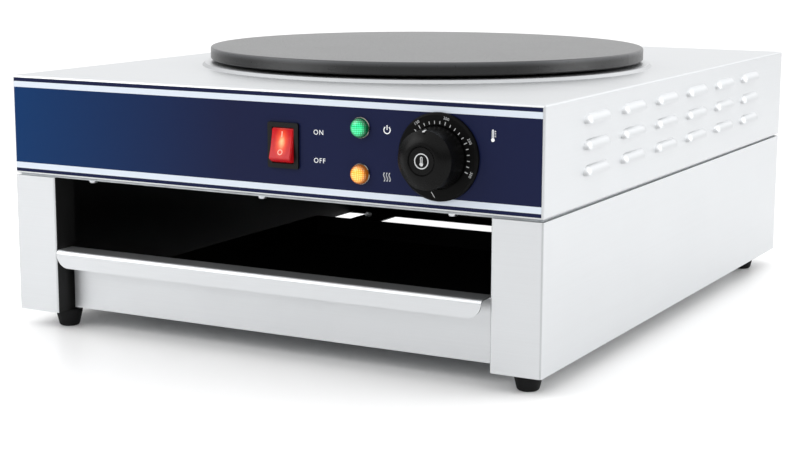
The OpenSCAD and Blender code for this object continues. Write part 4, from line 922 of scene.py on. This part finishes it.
class CREPE_OT_heating_parts(bpy.types.Operator):
    """The heater under the plate, the thermostat and the wiring"""

    bl_idname = "crepe.heating_parts"
    bl_label = "Heating parts"

    def execute(self, context):
        # Nickel alloy sheath, drawn and annealed: olive grey, heat-tinted in bands
        sheath = speckled("Annealed heater sheath", linear("#6E6A60"), 0.45, 3 * MM, 0.02 * MM, metallic=1.0,
                          contrast=0.25)
        dress(sheath, "heating_element")
        # Aluminised steel sheet: soft white metal with a fine mottle
        pan = speckled("Aluminised sheet", linear("#B4B6B7"), 0.40, 2 * MM, 0.01 * MM, metallic=1.0)
        dress(pan, "reflector_pan", "element_clamp")
        # Pressed mineral wool board: off-white fibres
        board = speckled("Pressed mineral board", linear("#B9B19C"), 0.92, 1.5 * MM, 0.3 * MM, contrast=0.2)
        dress(board, "insulation_disc")
        # Fired steatite: white, slightly glossy
        steatite = speckled("Fired steatite", linear("#E4E1D8"), 0.28, 1 * MM, 0.01 * MM, contrast=0.04,
                            ior=1.6)
        dress(steatite, "terminal_block")
        # Pressed zinc-plated case: grey and soft
        case = speckled("Pressed zinc case", linear("#A9ACAE"), 0.36, 1.5 * MM, 0.01 * MM, metallic=1.0)
        dress(case, "thermostat_body")
        # Drawn copper tube, dulled by handling
        copper = speckled("Drawn copper tube", linear("#B8744E"), 0.3, 1 * MM, 0.01 * MM, metallic=1.0)
        dress(copper, "thermostat_capillary")
        # Glass-braided silicone sleeving: matt, off-white, with a fine braid
        made, tree, shader = material("Braided glass sleeving", Roughness=0.7)
        place = add(tree, "TexCoord")
        braid = add(tree, "TexChecker", {"Vector": place.outputs["Object"], "Scale": 1 / (0.8 * MM),
                                         "Color1": linear("#D9D2C2"), "Color2": linear("#B3AA97")})
        connect(shader, {"Base Color": braid})
        dress(made, "internal_wires")
        return {"FINISHED"}


class CREPE_OT_studio(bpy.types.Operator):
    """Pale floor, soft lights and the camera"""

    bl_idname = "crepe.studio"
    bl_label = "Studio"

    # Name, place, size and power of each soft box, and the height that they all aim at
    soft_boxes = (
        ("left_softbox", (-1.51, -1.51, 1.19), 1.5, 17.0),
        ("right_softbox", (2.26, 0.73, 1.16), 1.2, 16.0),
        ("back_softbox", (1.1, 2.6, 1.5), 1.6, 3.5),
    )
    aim_height = 0.12
    # Brightness of the walls at eye height and above, to the front and to the back
    horizon_front, horizon_back, ceiling_front, ceiling_back = 0.20, 0.98, 1.31, 1.25
    # The camera, fitted to the object's outline: place in metres, turns in radians, lens in millimetres
    camera_place, yaw, pitch, roll = (0.73830, -1.42156, 0.34818), 0.495662, -0.179385, 0.003016
    lens, sensor = 76.9, 36.0

    def execute(self, context):
        context.scene.view_settings.view_transform = "Standard"
        self.floor(context.scene)
        self.walls(context.scene)
        self.lights(context.scene)
        self.camera(context.scene)
        return {"FINISHED"}

    def floor(self, scene):
        bm = bmesh.new()
        bmesh.ops.create_grid(bm, x_segments=8, y_segments=8, size=20)
        mesh = bpy.data.meshes.new("studio_floor")
        bm.to_mesh(mesh)
        bm.free()
        # Painted board: near white, with a faint soft sheen
        made, tree, shader = material("White painted board", Roughness=0.42)
        shade = add(tree, "Mix", {"Factor": grain(tree, 0.6), "A": linear("#FBFBFB"), "B": linear("#FDFDFD")},
                    data_type="RGBA")
        connect(shader, {"Base Color": shade})
        mesh.materials.append(made)
        floor = bpy.data.objects.new("studio_floor", mesh)
        scene.collection.objects.link(floor)

    def walls(self, scene):
        # White walls and ceiling, with the room behind the photographer unlit up to eye height
        world = bpy.data.worlds.new("Studio white")
        world.use_nodes = True
        tree = world.node_tree
        parts = add(tree, "SeparateXYZ", {0: add(tree, "TexCoord").outputs["Generated"]})
        back = add(tree, "MapRange", {"Value": parts.outputs["Y"], "From Min": 0.1, "From Max": 0.8},
                   interpolation_type="SMOOTHSTEP")
        horizon = add(tree, "Mix", {"Factor": back, "A": self.horizon_front, "B": self.horizon_back})
        ceiling = add(tree, "Mix", {"Factor": back, "A": self.ceiling_front, "B": self.ceiling_back})
        height = add(tree, "MapRange", {"Value": parts.outputs["Z"], "From Min": 0.10, "From Max": 0.55},
                     interpolation_type="SMOOTHSTEP")
        level = add(tree, "Mix", {"Factor": height, "A": horizon, "B": ceiling})
        connect(tree.nodes["Background"], {"Color": (1, 1, 1), "Strength": level})
        scene.world = world

    def lights(self, scene):
        for name, place, size, power in self.soft_boxes:
            lamp = bpy.data.lights.new(name, "AREA")
            lamp.shape, lamp.size, lamp.energy = "SQUARE", size, power
            holder = bpy.data.objects.new(name, lamp)
            holder.location = place
            aim = Vector((0, 0, self.aim_height)) - Vector(place)
            holder.rotation_euler = aim.to_track_quat("-Z", "Y").to_euler()
            scene.collection.objects.link(holder)

    def camera(self, scene):
        camera = bpy.data.cameras.new("photo_camera")
        camera.sensor_width, camera.lens = self.sensor, self.lens
        camera.clip_start, camera.clip_end = 0.05, 100.0
        holder = bpy.data.objects.new("photo_camera", camera)
        ahead = Vector((-math.sin(self.yaw) * math.cos(self.pitch), math.cos(self.yaw) * math.cos(self.pitch),
                        math.sin(self.pitch)))
        level = Vector((math.cos(self.yaw), math.sin(self.yaw), 0))
        upright = level.cross(ahead)
        right = level * math.cos(self.roll) + upright * math.sin(self.roll)
        up = upright * math.cos(self.roll) - level * math.sin(self.roll)
        turn = Matrix((right, up, -ahead)).transposed().to_4x4()
        holder.matrix_world = Matrix.Translation(self.camera_place) @ turn
        scene.collection.objects.link(holder)
        scene.camera = holder


STEPS = (
    CREPE_OT_sheet_metal,
    CREPE_OT_base_plate,
    CREPE_OT_cast_plate,
    CREPE_OT_printed_panel,
    CREPE_OT_temperature_dial,
    CREPE_OT_rocker_switch,
    CREPE_OT_signal_lamps,
    CREPE_OT_screws,
    CREPE_OT_feet_and_gland,
    CREPE_OT_heating_parts,
    CREPE_OT_studio,
)


class CREPE_PT_panel(bpy.types.Panel):
    """Lists the steps that dress the crepe maker"""

    bl_idname = "CREPE_PT_panel"
    bl_label = "Crepe maker"
    bl_space_type = "VIEW_3D"
    bl_region_type = "UI"
    bl_category = "Crepe maker"

    def draw(self, context):
        for step in STEPS:
            self.layout.operator(step.bl_idname)
        for group in (context.scene.crepe_maker_sizes, context.scene.crepe_maker_colours):
            box = self.layout.box()
            for name in group.__annotations__:
                box.prop(group, name)


CLASSES = (CrepeMakerSizes, CrepeMakerColours, *STEPS, CREPE_PT_panel)


def register():
    for item in CLASSES:
        bpy.utils.register_class(item)
    bpy.types.Scene.crepe_maker_sizes = PointerProperty(type=CrepeMakerSizes)
    bpy.types.Scene.crepe_maker_colours = PointerProperty(type=CrepeMakerColours)


def unregister():
    del bpy.types.Scene.crepe_maker_colours
    del bpy.types.Scene.crepe_maker_sizes
    for item in reversed(CLASSES):
        bpy.utils.unregister_class(item)


def main():
    """Runs every step in order."""
    register()
    for step in STEPS:
        group, name = step.bl_idname.split(".")
        result = getattr(getattr(bpy.ops, group), name)()
        if result != {"FINISHED"}:
            raise RuntimeError(f"{step.bl_label} did not finish")


if __name__ == "__main__":
    main()
